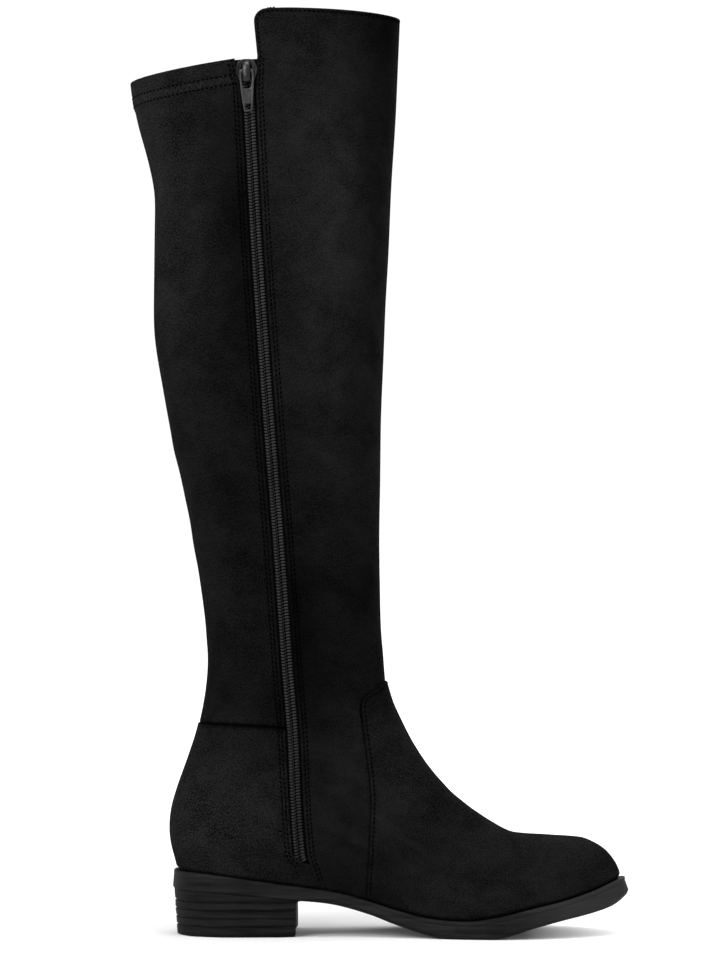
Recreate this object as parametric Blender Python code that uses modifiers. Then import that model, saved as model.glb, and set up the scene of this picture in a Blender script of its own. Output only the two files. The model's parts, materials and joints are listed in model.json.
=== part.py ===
"""Over-the-knee boot for the left foot, with a zip on its inner side.

Metres, +Z up, toe towards +X, inner (medial) side towards -Y. The tables are in millimetres,
measured from the back end of the sole (x), its middle line (y) and the floor (z). Everything
hangs on one empty, which moves the finished boot over the origin.
"""

import math

import bmesh
import bpy
import numpy as np
from mathutils import Matrix, Vector

MM = 0.001

# Driving dimensions
GAP = 0.3 * MM
SEAT_GAP = 0.4 * MM
WALL = 2.0 * MM
SOLE_LENGTH = 266.2 * MM
SOLE_ROUNDING = 1.2 * MM
SOLE_CHAMFER = 1.4 * MM
SIDE_LEAN = 0.6 * MM
TOE_LEAN = 2.0 * MM
LEAN_START = 190.0 * MM
HEEL_BREAST = 72.7 * MM
HEEL_INSET = 0.8 * MM
HEEL_TAPER = 1.8 * MM
HEEL_EDGE = 1.0 * MM
HEEL_GROOVES = (6.0, 10.7, 15.4, 20.2)
GROOVE_DEPTH = 0.6 * MM
GROOVE_HALF = 0.35 * MM
INSOLE_THICKNESS = 3.0 * MM
INSOLE_CHAMFER = 1.2 * MM
INSOLE_CLEARANCE = 1.6 * MM
SOFTENING = 7.0 * MM

# The upper's levels: 0 is its lower edge, 1 the top of the vamp, 2 the collar behind the zip,
# and 3 the top of the front panel.
VAMP_TOP = 147.0 * MM
COLLAR_BACK = 496.6 * MM
COLLAR_SIDE = 506.6 * MM
PANEL_SIDE = 536.8 * MM
PANEL_FRONT = 534.0 * MM
PANEL_CORNER = 5.5 * MM
COUNTER_TOP = 0.785
HEM_BOTTOM = 1.958

# The upper's cross section: an arch over the foot, an oval round the leg, and their blend
ARCH_JOINT = 100.0 * MM
ARCH_SWELL = 0.045
ARCH_SWELL_HEIGHT = 8.0 * MM
ARCH_POWERS = (2.1, 1.8, 1.9)
OVAL_POWERS = (2.2, 2.1)
BLEND_LOW = 60.0 * MM
BLEND_HIGH = 130.0 * MM

# How the levels over the foot fan out from the heel to the toe
RIDGE_PACE = 1.1
FRONT_LAG = 0.75
LAG_START = 0.3
FRONT_TURN = 5
BEHIND_RIDGE_CLIMB = 6.0
PANEL_SHARE = 0.46

# How far each panel stands out of the back panel
COUNTER_STEP = 0.6 * MM
HEM_STEP = 0.5 * MM
PANEL_STEP = 0.5 * MM
VAMP_STEP = 1.6 * MM
STEP_RUN = 0.8 * MM

# The zip: its slot, coil and tape, given across the zip from its middle line, and as depths
SLOT_HALF = 4.15 * MM
SLOT_END_WIDTH = 2.0 * MM
COIL_HALF = 3.8 * MM
COIL_DEPTH = (0.5 * MM, 2.4 * MM)
TAPE_HALF = 10.0 * MM
TAPE_DEPTH = (2.7 * MM, 3.3 * MM)
SLOT_END = 0.116
SLOT_END_RISE = 0.034
COIL_START = 0.155
COIL_END = 1.972
TAPE_START = 0.09

# The slider and its pull. Their frame has x across the zip towards the toe, y up along the zip
# and z out of the upper, from the point under the pull's pivot.
PIVOT_LEVEL = 1.9833
PIVOT_OUT = 3.5 * MM
PLATE_OUT = (0.9, 2.4)
BACK_PLATE_OUT = (-4.7, -3.6)
POST_HALF = 1.5
POST_REACH = (-1.6, 4.4)
BRIDGE_HALF = 1.55
BRIDGE_REACH = (-5.6, 6.0)
BRIDGE_LEG = 1.7
TUNNEL_TOP = 4.7
ROOF = 1.2
BACK_PLATE_HALF = 5.2
BACK_PLATE_REACH = (-5.6, 5.0)
FUSE = 0.3
PULL_THICKNESS = 1.4
PULL_RECESS = 0.35
RECESS_HALF = 1.6
RECESS_REACH = (-17.6, -10.6)

# Outlines as halves at +x, from the top down, in millimetres across and along the zip
PLATE_HALF = ((3.6, 6.4), (6.0, 5.2), (6.5, 4.0), (6.5, 0.5), (5.4, -4.6), (4.4, -6.1))
PULL_SIDE = ((3.5, 0.6), (4.25, -0.1), (4.25, -3.0), (3.6, -10.0), (2.6, -13.5), (2.5, -22.6))
PULL_END = ((2.1, -23.3), (1.2, -23.6))
PULL_WINDOW = ((2.6, -0.6), (2.6, -5.0), (2.1, -8.6), (1.5, -9.4))
PULL_LOWER_WINDOW = ((1.2, -18.6), (1.2, -21.8))

SOLE_OUTLINE = np.array(
    [
        (0.0, 0.0, 0.0),
        (14.0, 26.0, 0.0),
        (36.0, 32.0, 0.0),
        (60.0, 31.8, 0.6),
        (85.0, 30.2, 3.2),
        (108.0, 31.2, 5.0),
        (140.0, 38.5, 4.6),
        (165.0, 44.6, 3.2),
        (183.0, 46.6, 2.4),
        (205.0, 45.0, 2.0),
        (228.0, 39.0, 1.5),
        (247.0, 28.6, 0.0),
        (266.2, 0.0, -4.0),
    ],
    dtype=[("x", float), ("half_width", float), ("centre", float)],
)

SOLE_SIDE = np.array(
    [
        (0.0, 38.0, 27.0),
        (20.0, 36.6, 26.2),
        (44.0, 33.5, 24.6),
        (72.7, 29.2, 21.3),
        (92.0, 26.3, 19.0),
        (115.0, 20.5, 12.9),
        (130.0, 16.0, 7.4),
        (147.0, 12.0, 2.2),
        (158.0, 10.6, 0.0),
        (170.0, 10.2, 0.0),
        (185.0, 12.0, 0.0),
        (211.0, 17.8, 6.5),
        (225.0, 20.9, 10.0),
        (244.0, 26.4, 14.8),
        (255.0, 30.2, 18.2),
        (266.2, 33.3, 24.0),
    ],
    dtype=[("x", float), ("top", float), ("bottom", float)],
)

# From the sole's outline in to the lower edge of the upper's back panel
UPPER_INSET = np.array(
    [(0.0, 3.6), (30.0, 3.0), (110.0, 3.0), (165.0, 4.4), (230.0, 5.6), (266.2, 7.0)],
    dtype=[("x", float), ("inset", float)],
)

BACK_LINE = np.array(
    [
        (39.0, 3.6),
        (54.0, -1.2),
        (66.0, -1.7),
        (78.0, 0.6),
        (101.0, 8.2),
        (124.0, 15.6),
        (148.0, 19.9),
        (160.0, 20.5),
        (171.0, 19.9),
        (218.0, 14.0),
        (265.0, 4.7),
        (312.0, -4.7),
        (358.0, -11.1),
        (394.0, -11.1),
        (429.0, -10.5),
        (452.0, -14.6),
        (475.0, -21.1),
        (497.0, -24.6),
        (537.0, -26.0),
    ],
    dtype=[("z", float), ("x", float)],
)

SHIN_LINE = np.array(
    [
        (147.0, 123.8),
        (160.0, 122.8),
        (171.0, 121.8),
        (195.0, 120.6),
        (230.0, 120.0),
        (265.0, 120.6),
        (312.0, 121.8),
        (358.0, 123.5),
        (394.0, 125.3),
        (440.0, 127.6),
        (497.0, 130.8),
        (537.0, 132.3),
    ],
    dtype=[("z", float), ("x", float)],
)

# The middle line over the foot, from the toe to the top of the vamp, under the overlay
RIDGE_LINE = np.array(
    [
        (259.2, 32.0),
        (258.6, 33.4),
        (256.6, 38.3),
        (254.2, 42.4),
        (250.2, 47.2),
        (245.0, 51.0),
        (237.0, 54.0),
        (221.0, 54.9),
        (200.6, 56.8),
        (182.8, 64.3),
        (165.5, 76.2),
        (153.7, 88.0),
        (144.8, 99.8),
        (137.6, 112.0),
        (132.0, 123.6),
        (127.2, 135.3),
        (123.8, 147.0),
    ],
    dtype=[("x", float), ("z", float)],
)

LEG = np.array(
    [
        (60.0, 33.0),
        (125.0, 34.0),
        (160.0, 35.5),
        (218.0, 39.0),
        (288.0, 44.0),
        (360.0, 48.0),
        (430.0, 46.5),
        (497.0, 46.0),
        (537.0, 46.5),
    ],
    dtype=[("z", float), ("half_width", float)],
)

ZIP_LINE = np.array(
    [
        (20.0, 86.0),
        (31.0, 80.4),
        (42.3, 76.2),
        (47.0, 74.8),
        (77.0, 72.4),
        (117.0, 70.6),
        (155.0, 67.7),
        (230.0, 62.5),
        (297.0, 57.6),
        (403.0, 50.6),
        (505.0, 46.1),
        (537.0, 44.9),
    ],
    dtype=[("z", float), ("x", float)],
)

# The vamp's rear edge, which runs on up the shaft as a guide for the mesh only
VAMP_LINE = np.array(
    [
        (10.0, 112.0),
        (22.0, 112.9),
        (79.5, 115.2),
        (94.0, 114.0),
        (124.6, 110.0),
        (137.3, 108.8),
        (147.0, 112.0),
        (200.0, 103.0),
        (300.0, 96.0),
        (537.0, 92.0),
    ],
    dtype=[("z", float), ("x", float)],
)

# Levels of the upper's mesh lines
FOOT_LEVELS = (0.0, 0.05, SLOT_END, 0.15, 0.21, 0.28, 0.35, 0.42, 0.49, 0.56, 0.63, 0.71)
SEAM_LEVELS = (COUNTER_TOP, COUNTER_TOP + 0.007, 0.86, 0.93, 1.0, 1.0023)
SHAFT_LEVELS = tuple(1.0 + step / 14 for step in range(1, 14))
HEM_LEVELS = (HEM_BOTTOM, HEM_BOTTOM + 0.0015)
PANEL_LEVELS = (2.0, 2.4, 2.81, 2.93, 2.985, 3.0)
LEVELS = FOOT_LEVELS + SEAM_LEVELS + SHAFT_LEVELS + HEM_LEVELS + PANEL_LEVELS

CELLS_BACK = 8
CELLS_SIDE = 5
CELLS_FRONT = 9
RING_SAMPLES = 161
OUTLINE_CELLS = 64
HEEL_CELLS = 20


def curve(table, key, value, scale=MM):
    """A monotone smooth curve through two columns of a table, as a function in metres."""
    knots = table[key] * MM
    values = table[value] * scale
    steps = np.diff(knots)
    slopes = np.diff(values) / steps
    tangents = np.zeros_like(values)
    tangents[0] = slopes[0]
    tangents[-1] = slopes[-1]
    before = slopes[:-1]
    after = slopes[1:]
    same = before * after > 0
    tangents[1:-1][same] = (2 * before * after)[same] / (before + after)[same]

    def read(at):
        at = np.clip(at, knots[0], knots[-1])
        cell = np.clip(np.searchsorted(knots, at) - 1, 0, len(steps) - 1)
        t = (at - knots[cell]) / steps[cell]
        start = (1 + 2 * t) * (1 - t) ** 2 * values[cell]
        start = start + t * (1 - t) ** 2 * steps[cell] * tangents[cell]
        end = t**2 * (3 - 2 * t) * values[cell + 1]
        end = end + t**2 * (t - 1) * steps[cell] * tangents[cell + 1]
        return start + end

    return read


def softened(line, reach=SOFTENING):
    """A curve averaged over a short stretch, which takes the kinks out of a measured line."""
    shifts = np.linspace(-reach, reach, 5)

    def read(at):
        return sum(line(np.asarray(at) + shift) for shift in shifts) / len(shifts)

    return read


def lerp(a, b, t):
    return a + (b - a) * t


def smoothstep(t):
    t = np.clip(t, 0.0, 1.0)
    return t * t * (3 - 2 * t)


sole_centre = curve(SOLE_OUTLINE, "x", "centre")
sole_top = curve(SOLE_SIDE, "x", "top")
sole_bottom = curve(SOLE_SIDE, "x", "bottom")
upper_inset = curve(UPPER_INSET, "x", "inset")
back_line = softened(curve(BACK_LINE, "z", "x"))
shin_line = curve(SHIN_LINE, "z", "x")
leg_half_width = softened(curve(LEG, "z", "half_width"))
zip_line = curve(ZIP_LINE, "z", "x")
vamp_line = curve(VAMP_LINE, "z", "x")


def turned_outline():
    """The sole's half width against the angle round an ellipse, which keeps both ends round."""
    turned = SOLE_OUTLINE.copy()
    share = np.clip(SOLE_OUTLINE["x"] * MM / SOLE_LENGTH, 0.0, 1.0)
    turned["x"] = np.arccos(1 - 2 * share) / MM
    return curve(turned, "x", "half_width")


outline_half_width = turned_outline()


def sole_outline(angle, inset=0.0):
    """Points (x, y) round the sole: from the heel at 0, along the inner side, to the toe at pi."""

    def plain(turn):
        x = SOLE_LENGTH * (1 - np.cos(turn)) / 2
        side = np.where(np.sin(turn) >= 0, -1.0, 1.0)
        half = outline_half_width(np.arccos(np.clip(np.cos(turn), -1.0, 1.0)))
        return np.stack([x, sole_centre(x) + side * half], axis=-1)

    small = 1e-4
    along = plain(angle + small) - plain(angle - small)
    along /= np.linalg.norm(along, axis=-1, keepdims=True)
    outward = np.stack([along[..., 1], -along[..., 0]], axis=-1)
    return plain(angle) - outward * np.asarray(inset)[..., None]


def feather_sides():
    """The upper's lower edge as two lines of (x, y): the inner and the outer side, heel to toe."""
    turn = np.linspace(0.0, math.pi, 400)
    lines = []
    for angle in (turn, 2 * math.pi - turn):
        inset = upper_inset(SOLE_LENGTH * (1 - np.cos(angle)) / 2)
        lines.append(sole_outline(angle, inset))
    return lines


FEATHER_INNER, FEATHER_OUTER = feather_sides()


def feather(x):
    """Centre and half width of the upper's lower edge at x."""
    inner = np.interp(x, FEATHER_INNER[:, 0], FEATHER_INNER[:, 1])
    outer = np.interp(x, FEATHER_OUTER[:, 0], FEATHER_OUTER[:, 1])
    return (inner + outer) / 2, (outer - inner) / 2


def dense_ridge():
    """The ridge line as many points (share of its length, x, z), from the toe to the vamp's top."""
    corners = np.stack([RIDGE_LINE["x"], RIDGE_LINE["z"]], axis=-1)
    share = np.concatenate([[0.0], np.cumsum(np.linalg.norm(np.diff(corners, axis=0), axis=1))])
    share /= share[-1]
    table = np.zeros(len(share), dtype=[("share", float), ("x", float), ("z", float)])
    table["share"] = share / MM
    table["x"] = corners[:, 0]
    table["z"] = corners[:, 1]
    at = np.linspace(0.0, 1.0, 500)
    return np.stack([at, curve(table, "share", "x")(at), curve(table, "share", "z")(at)], axis=-1)


RIDGE = dense_ridge()


def ridge_height(x):
    """Height of the ridge at x. Behind its top it climbs on, out of the way."""
    top = RIDGE[-1, 2] + BEHIND_RIDGE_CLIMB * (RIDGE[-1, 1] - x)
    return np.where(x < RIDGE[-1, 1], top, np.interp(x, RIDGE[::-1, 1], RIDGE[::-1, 2]))


def front_line(z):
    return np.where(z > VAMP_TOP, shin_line(z), np.interp(z, RIDGE[:, 2], RIDGE[:, 1]))


def cross_section(x, z):
    """Centre and half width of the upper at (x, z) of its side view.

    Low down it is an arch over the foot, on the outline of the lower edge. Higher up it is an
    oval round the leg, and the two melt into each other over the ankle.
    """
    centre, _ = feather(x)
    low = sole_top(x) + SEAT_GAP
    climb = np.clip((z - low) / np.maximum(ridge_height(x) - low, 1e-6), 0.0, 1.0)
    heel = FEATHER_INNER[0, 0]
    stretch = (ARCH_JOINT - heel) / (ARCH_JOINT - back_line(z))
    aligned = np.where(x < ARCH_JOINT, ARCH_JOINT - (ARCH_JOINT - x) * stretch, x)
    _, half = feather(aligned)
    swell = 1 + ARCH_SWELL * (1 - np.exp(-(z - low) / ARCH_SWELL_HEIGHT))
    toe_power, heel_power, side_power = ARCH_POWERS
    roundness = lerp(toe_power, heel_power, smoothstep((200 * MM - x) / (60 * MM)))
    arch = half * swell * (1 - climb**roundness) ** (1 / side_power)

    rear = back_line(z)
    front = front_line(z)
    across = np.clip((2 * x - rear - front) / (front - rear), -1.0, 1.0)
    oval = leg_half_width(z) * (1 - np.abs(across) ** OVAL_POWERS[0]) ** (1 / OVAL_POWERS[1])
    blend = smoothstep((z - BLEND_LOW) / (BLEND_HIGH - BLEND_LOW))
    return centre * (1 - blend), lerp(arch, oval, blend)


def ring_side(level):
    """One level of the upper in side view: x and z from its back to its front."""
    u = (1 - np.cos(np.linspace(0.0, math.pi, RING_SAMPLES))) / 2
    if level <= 1:
        rear_z = lerp(sole_top(0.0) + SEAT_GAP, VAMP_TOP, level)
        share = level**RIDGE_PACE
        front_x = np.interp(share, RIDGE[:, 0], RIDGE[:, 1])
        front_z = np.interp(share, RIDGE[:, 0], RIDGE[:, 2])
        rear_x = back_line(rear_z)
        x = lerp(rear_x, front_x, u)
        lag = FRONT_LAG * (1 - level) * smoothstep((u - LAG_START) / (1 - LAG_START))
        z = lerp(sole_top(x) + SEAT_GAP, VAMP_TOP, level * (1 - lag))
        return x, z + (front_z - z[-1]) * (1 - (1 - u**FRONT_TURN) ** (1 / FRONT_TURN))
    low = lerp(COLLAR_BACK, COLLAR_SIDE, np.clip(u / PANEL_SHARE, 0.0, 1.0))
    high = lerp(PANEL_SIDE, PANEL_FRONT, smoothstep((u - PANEL_SHARE) / (1 - PANEL_SHARE)))
    z = lerp(VAMP_TOP, low, level - 1) if level <= 2 else lerp(low, high, level - 2)
    return lerp(back_line(z[0]), shin_line(z[-1]), u), z


def ring(level):
    """One level as a closed line round the leg: points, arc lengths, and where the front is."""
    x, z = ring_side(level)
    centre, half = cross_section(x, z)
    half[0] = 0.0
    half[-1] = 0.0
    inner = np.stack([x, centre - half, z], axis=-1)
    outer = np.stack([x, centre + half, z], axis=-1)
    points = np.concatenate([inner, outer[-2::-1]])
    arcs = np.concatenate([[0.0], np.cumsum(np.linalg.norm(np.diff(points, axis=0), axis=1))])
    return points, arcs, arcs[RING_SAMPLES - 1]


def crossing(points, arcs, line, outer=False):
    """Arc length at which a ring's inner or outer half crosses a line of the side view."""
    half = slice(RING_SAMPLES - 1, None) if outer else slice(0, RING_SAMPLES)
    ahead = points[half, 0] - line(points[half, 2])
    if outer:
        return np.interp(0.0, ahead[::-1], arcs[half][::-1])
    return np.interp(0.0, ahead, arcs[half])


def at_arc(points, arcs, where):
    return np.stack([np.interp(where, arcs, points[:, axis]) for axis in range(3)], axis=-1)


def surface(level, across):
    """Point and outward normal of the upper, at distances across the zip from its middle line."""
    across = np.asarray(across, float)

    def place(at):
        points, arcs, _ = ring(at)
        return at_arc(points, arcs, crossing(points, arcs, zip_line) + across)

    def side(shift):
        points, arcs, _ = ring(level)
        return at_arc(points, arcs, crossing(points, arcs, zip_line) + across + shift)

    up = place(min(level + 0.004, 3.0)) - place(level - 0.004)
    along = side(MM) - side(-MM)
    normal = np.cross(along, up)
    return place(level), normal / np.linalg.norm(normal, axis=-1, keepdims=True)


def slot_width(level):
    """Width of the zip's slot. At its lower end the rear edge curves over to the front edge."""
    return lerp(SLOT_END_WIDTH, 2 * SLOT_HALF, smoothstep((level - SLOT_END) / SLOT_END_RISE))


def panel_corner(level):
    """How far the front panel's side edge draws in at its rounded top corner."""
    height = (level - 2) * (PANEL_SIDE - COLLAR_SIDE)
    over = np.clip(height - (PANEL_SIDE - COLLAR_SIDE - PANEL_CORNER), 0.0, PANEL_CORNER)
    return PANEL_CORNER - math.sqrt(PANEL_CORNER**2 - over**2)


def column_arcs(level, points, arcs, front):
    """Arc lengths of the mesh's columns on a ring, and the panel that each belongs to."""
    middle = crossing(points, arcs, zip_line)
    seam = crossing(points, arcs, zip_line, outer=True)
    vamp_inner = crossing(points, arcs, vamp_line)
    vamp_outer = crossing(points, arcs, vamp_line, outer=True)
    slot_rear = middle + SLOT_HALF - slot_width(level)
    corner = panel_corner(level) if level > 2 else 0.0
    run = STEP_RUN if level <= 1 else lerp(STEP_RUN, 8 * MM, min(level - 1, 0.1) * 10)
    crowd = lerp(1.6, 1.0, np.clip((level - 0.9) / 0.5, 0.0, 1.0))
    fan = 1 - (1 - np.arange(CELLS_FRONT + 1) / CELLS_FRONT) ** crowd
    back = np.arange(CELLS_BACK + 1) / CELLS_BACK
    side = np.arange(CELLS_SIDE + 1) / CELLS_SIDE
    seam_edge = seam - SLOT_HALF - corner
    return np.concatenate(
        [
            lerp(0.0, slot_rear, back),
            lerp(middle + SLOT_HALF + corner, vamp_inner, side),
            lerp(vamp_inner + run, front, fan),
            lerp(front, vamp_outer - run, 1 - fan[::-1])[1:],
            lerp(vamp_outer, seam_edge, side),
            lerp(seam_edge + STEP_RUN + corner, arcs[-1], back)[:-1],
        ]
    )


ZIP_REAR = CELLS_BACK
ZIP_FRONT = CELLS_BACK + 1
VAMP_FIRST = ZIP_FRONT + CELLS_SIDE + 1
VAMP_LAST = VAMP_FIRST + 2 * CELLS_FRONT
SEAM_FRONT = VAMP_LAST + CELLS_SIDE + 1


def step_at(level, column):
    """How far the upper stands out at a level and column of its mesh."""
    if ZIP_FRONT <= column <= SEAM_FRONT:
        on_vamp = level <= 1 and VAMP_FIRST <= column <= VAMP_LAST
        return VAMP_STEP if on_vamp else PANEL_STEP
    if level <= COUNTER_TOP:
        return COUNTER_STEP
    return HEM_STEP if level > HEM_BOTTOM else 0.0


def upper_grid():
    """The upper's outer face as rings of points, with its panels' steps."""
    rows = []
    for level in LEVELS:
        points, arcs, front = ring(level)
        rows.append(at_arc(points, arcs, column_arcs(level, points, arcs, front)))
    grid = np.array(rows)
    along = np.roll(grid, -1, axis=1) - np.roll(grid, 1, axis=1)
    normal = np.cross(along, np.gradient(grid, axis=0))
    normal[0, :, 2] = 0.0
    normal /= np.linalg.norm(normal, axis=-1, keepdims=True)
    steps = np.array([[step_at(level, c) for c in range(grid.shape[1])] for level in LEVELS])
    grid += normal * steps[..., None]
    grid[0, :, 2] = sole_top(grid[0, :, 0]) + SEAT_GAP
    return grid


def material(name, colour, roughness, metallic=0.0):
    made = bpy.data.materials.new(name)
    made.use_nodes = True
    shader = made.node_tree.nodes["Principled BSDF"]
    shader.inputs["Base Color"].default_value = (*colour, 1.0)
    shader.inputs["Roughness"].default_value = roughness
    shader.inputs["Metallic"].default_value = metallic
    return made


def new_object(name, mesh, collection, finish=None):
    made = bpy.data.objects.new(name, mesh)
    collection.objects.link(made)
    made.parent = bpy.data.objects["boot_origin"]
    if finish:
        mesh.materials.append(finish)
    return made


def mesh_from(name, points, faces):
    mesh = bpy.data.meshes.new(name)
    mesh.from_pydata([tuple(point) for point in points], [], faces)
    edit = bmesh.new()
    edit.from_mesh(mesh)
    bmesh.ops.recalc_face_normals(edit, faces=edit.faces)
    edit.to_mesh(mesh)
    edit.free()
    return mesh


def smooth_shading(mesh, degrees=35):
    mesh.shade_smooth()
    mesh.set_sharp_from_angle(angle=math.radians(degrees))


def stacked_loops(name, loops):
    """A closed mesh through loops that run up one side and down the other, capped across."""
    count = len(loops[0])
    points = np.concatenate(loops)
    faces = []
    for level in range(len(loops) - 1):
        low = level * count
        high = low + count
        for j in range(count):
            k = (j + 1) % count
            faces.append((low + j, low + k, high + k, high + j))
    for start in (0, (len(loops) - 1) * count):
        for j in range(count // 2):
            rung = (j, j + 1, count - j - 1, (count - j) % count)
            faces.append(tuple(start + corner for corner in dict.fromkeys(rung)))
    return mesh_from(name, points, faces)


def full_loop(inset, line, raised=0.0):
    """A loop round the whole sole, inset from its outline, at a height over a line of its side."""
    angles = np.linspace(0.0, 2 * math.pi, OUTLINE_CELLS, endpoint=False)
    x = SOLE_LENGTH * (1 - np.cos(angles)) / 2
    plan = sole_outline(angles, inset(x) if callable(inset) else np.full_like(x, inset))
    return np.column_stack([plan, line(plan[:, 0]) + raised])


def sole_top_inset(x):
    """How far the side's upper edge leans in from the outline, most at the toe."""
    return lerp(SIDE_LEAN, TOE_LEAN, smoothstep((x - LEAN_START) / (SOLE_LENGTH - LEAN_START)))


def sole_ledge_inset(x):
    return sole_top_inset(x) + SOLE_CHAMFER


def add_outsole(parts):
    loops = (
        full_loop(2 * SOLE_ROUNDING, sole_bottom),
        full_loop(0.6 * SOLE_ROUNDING, sole_bottom, 0.6 * SOLE_ROUNDING),
        full_loop(0.0, sole_bottom, 2 * SOLE_ROUNDING),
        full_loop(sole_top_inset, sole_top, -SOLE_CHAMFER),
        full_loop(sole_ledge_inset, sole_top),
    )
    mesh = stacked_loops("outsole", loops)
    smooth_shading(mesh)
    new_object("outsole", mesh, parts, material("outsole_rubber", (0.017,) * 3, 0.5))


def heel_loop(inset, height=None):
    """A loop round the heel block, flat across its breast: level, or else right under the sole."""
    last = math.acos(1 - 2 * HEEL_BREAST / SOLE_LENGTH)
    angles = np.linspace(0.0, last, HEEL_CELLS + 1)
    inner = sole_outline(angles, inset)
    outer = sole_outline(2 * math.pi - angles, inset)
    plan = np.concatenate([inner, outer[:0:-1]])
    under_sole = sole_bottom(plan[:, 0]) - GAP
    return np.column_stack([plan, under_sole if height is None else np.full_like(under_sole, height)])


def add_heel(parts):
    """The heel block: a taper from top to floor with grooves between its layers."""

    def level(z, extra=0.0):
        return heel_loop(HEEL_INSET + HEEL_TAPER * (1 - z / sole_bottom(0.0)) + extra, z)

    loops = [level(0.0, HEEL_EDGE), level(HEEL_EDGE)]
    for groove in HEEL_GROOVES:
        z = groove * MM
        loops.append(level(z - GROOVE_HALF))
        loops.append(level(z, GROOVE_DEPTH))
        loops.append(level(z + GROOVE_HALF))
    loops.append(heel_loop(HEEL_INSET))
    mesh = stacked_loops("heel", loops)
    smooth_shading(mesh)
    new_object("heel", mesh, parts, material("heel_stack", (0.013,) * 3, 0.45))


def insole_inset(x):
    return upper_inset(x) + WALL + INSOLE_CLEARANCE


def insole_top_inset(x):
    return insole_inset(x) + INSOLE_CHAMFER


def add_insole(parts):
    loops = (
        full_loop(insole_inset, sole_top, GAP),
        full_loop(insole_inset, sole_top, GAP + INSOLE_THICKNESS - INSOLE_CHAMFER),
        full_loop(insole_top_inset, sole_top, GAP + INSOLE_THICKNESS),
    )
    mesh = stacked_loops("insole", loops)
    smooth_shading(mesh)
    new_object("insole", mesh, parts, material("insole_sock", (0.02,) * 3, 0.85))


def add_upper(parts):
    """The hollow upper: its outer face, open at the slot, with the wall's thickness inwards."""
    grid = upper_grid()
    rings, columns = grid.shape[:2]
    collar = LEVELS.index(2.0)
    slot_end = LEVELS.index(SLOT_END)
    faces = []
    for i in range(rings - 1):
        for j in range(columns):
            if j == ZIP_REAR and i >= slot_end:
                continue
            if i >= collar and not ZIP_FRONT <= j < SEAM_FRONT:
                continue
            k = (j + 1) % columns
            low = i * columns
            high = low + columns
            faces.append((low + j, low + k, high + k, high + j))
    mesh = bpy.data.meshes.new("upper")
    mesh.from_pydata([tuple(point) for point in grid.reshape(-1, 3)], [], faces)
    edit = bmesh.new()
    edit.from_mesh(mesh)
    bmesh.ops.delete(edit, geom=[v for v in edit.verts if not v.link_faces], context="VERTS")
    edit.to_mesh(mesh)
    edit.free()
    smooth_shading(mesh)
    made = new_object("upper", mesh, parts, material("black_suede", (0.012,) * 3, 0.9))
    shell = made.modifiers.new("wall", "SOLIDIFY")
    shell.thickness = WALL
    shell.offset = -1
    shell.use_even_offset = True


def levels_between(low, high):
    """The upper's own levels between two levels, and the two, so that facets match the wall's."""
    return [low] + [level for level in LEVELS if low < level < high] + [high]


def add_ribbon(name, parts, finish, levels, edges, depths):
    """A flat strip that follows the zip between distances across it and depths under the surface."""
    sections = []
    for level in levels:
        place, normal = surface(level, edges)
        front = place - normal * depths[0]
        rear = place - normal * depths[1]
        sections.append(np.concatenate([front, rear[::-1]]))
    count = len(sections[0])
    half = count // 2
    faces = []
    for i in range(len(sections) - 1):
        for j in range(count):
            k = (j + 1) % count
            low = i * count
            high = low + count
            faces.append((low + j, low + k, high + k, high + j))
    for start in (0, (len(sections) - 1) * count):
        for j in range(half - 1):
            faces.append((start + j, start + j + 1, start + count - j - 2, start + count - j - 1))
    mesh = mesh_from(name, np.concatenate(sections), faces)
    smooth_shading(mesh)
    new_object(name, mesh, parts, finish)


def add_zip(parts):
    """Two coils in the slot and two tapes behind them."""
    tape = material("zip_tape", (0.01,) * 3, 0.8)
    coil = material("zip_coil", (0.012,) * 3, 0.4)
    for side, name in ((-1, "rear"), (1, "front")):
        coil_edges = (side * GAP / 2, side * COIL_HALF)
        tape_edges = (side * GAP / 2, side * SLOT_HALF, side * TAPE_HALF)
        coil_levels = levels_between(COIL_START, COIL_END)
        add_ribbon(f"zip_coil_{name}", parts, coil, coil_levels, sorted(coil_edges), COIL_DEPTH)
        tape_levels = levels_between(TAPE_START, COIL_END)
        add_ribbon(f"zip_tape_{name}", parts, tape, tape_levels, sorted(tape_edges), TAPE_DEPTH)


def zip_frame():
    """Where the slider sits: x across the zip, y up along it, z out of the upper."""
    place, normal = surface(PIVOT_LEVEL, 0.0)
    above, _ = surface(PIVOT_LEVEL + 0.01, 0.0)
    out = Vector(normal)
    up = Vector(above - place)
    up = (up - out * up.dot(out)).normalized()
    frame = Matrix((up.cross(out), up, out)).transposed().to_4x4()
    frame.translation = Vector(place)
    return frame


def outline_mesh(name, loops, thickness):
    """A flat plate from its outline and its holes, in the xy plane, with its middle at z = 0."""
    flat = bpy.data.curves.new(name, "CURVE")
    flat.dimensions = "2D"
    flat.fill_mode = "BOTH"
    flat.extrude = thickness / 2 * MM
    for loop in loops:
        line = flat.splines.new("POLY")
        line.points.add(len(loop) - 1)
        for point, (x, y) in zip(line.points, loop):
            point.co = (x * MM, y * MM, 0.0, 1.0)
        line.use_cyclic_u = True
    guide = bpy.data.objects.new(name, flat)
    bpy.context.scene.collection.objects.link(guide)
    graph = bpy.context.evaluated_depsgraph_get()
    mesh = bpy.data.meshes.new_from_object(guide.evaluated_get(graph))
    bpy.data.objects.remove(guide)
    edit = bmesh.new()
    edit.from_mesh(mesh)
    bmesh.ops.remove_doubles(edit, verts=edit.verts, dist=1e-6)
    bmesh.ops.recalc_face_normals(edit, faces=edit.faces)
    edit.to_mesh(mesh)
    edit.free()
    mesh.name = name
    return mesh


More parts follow.
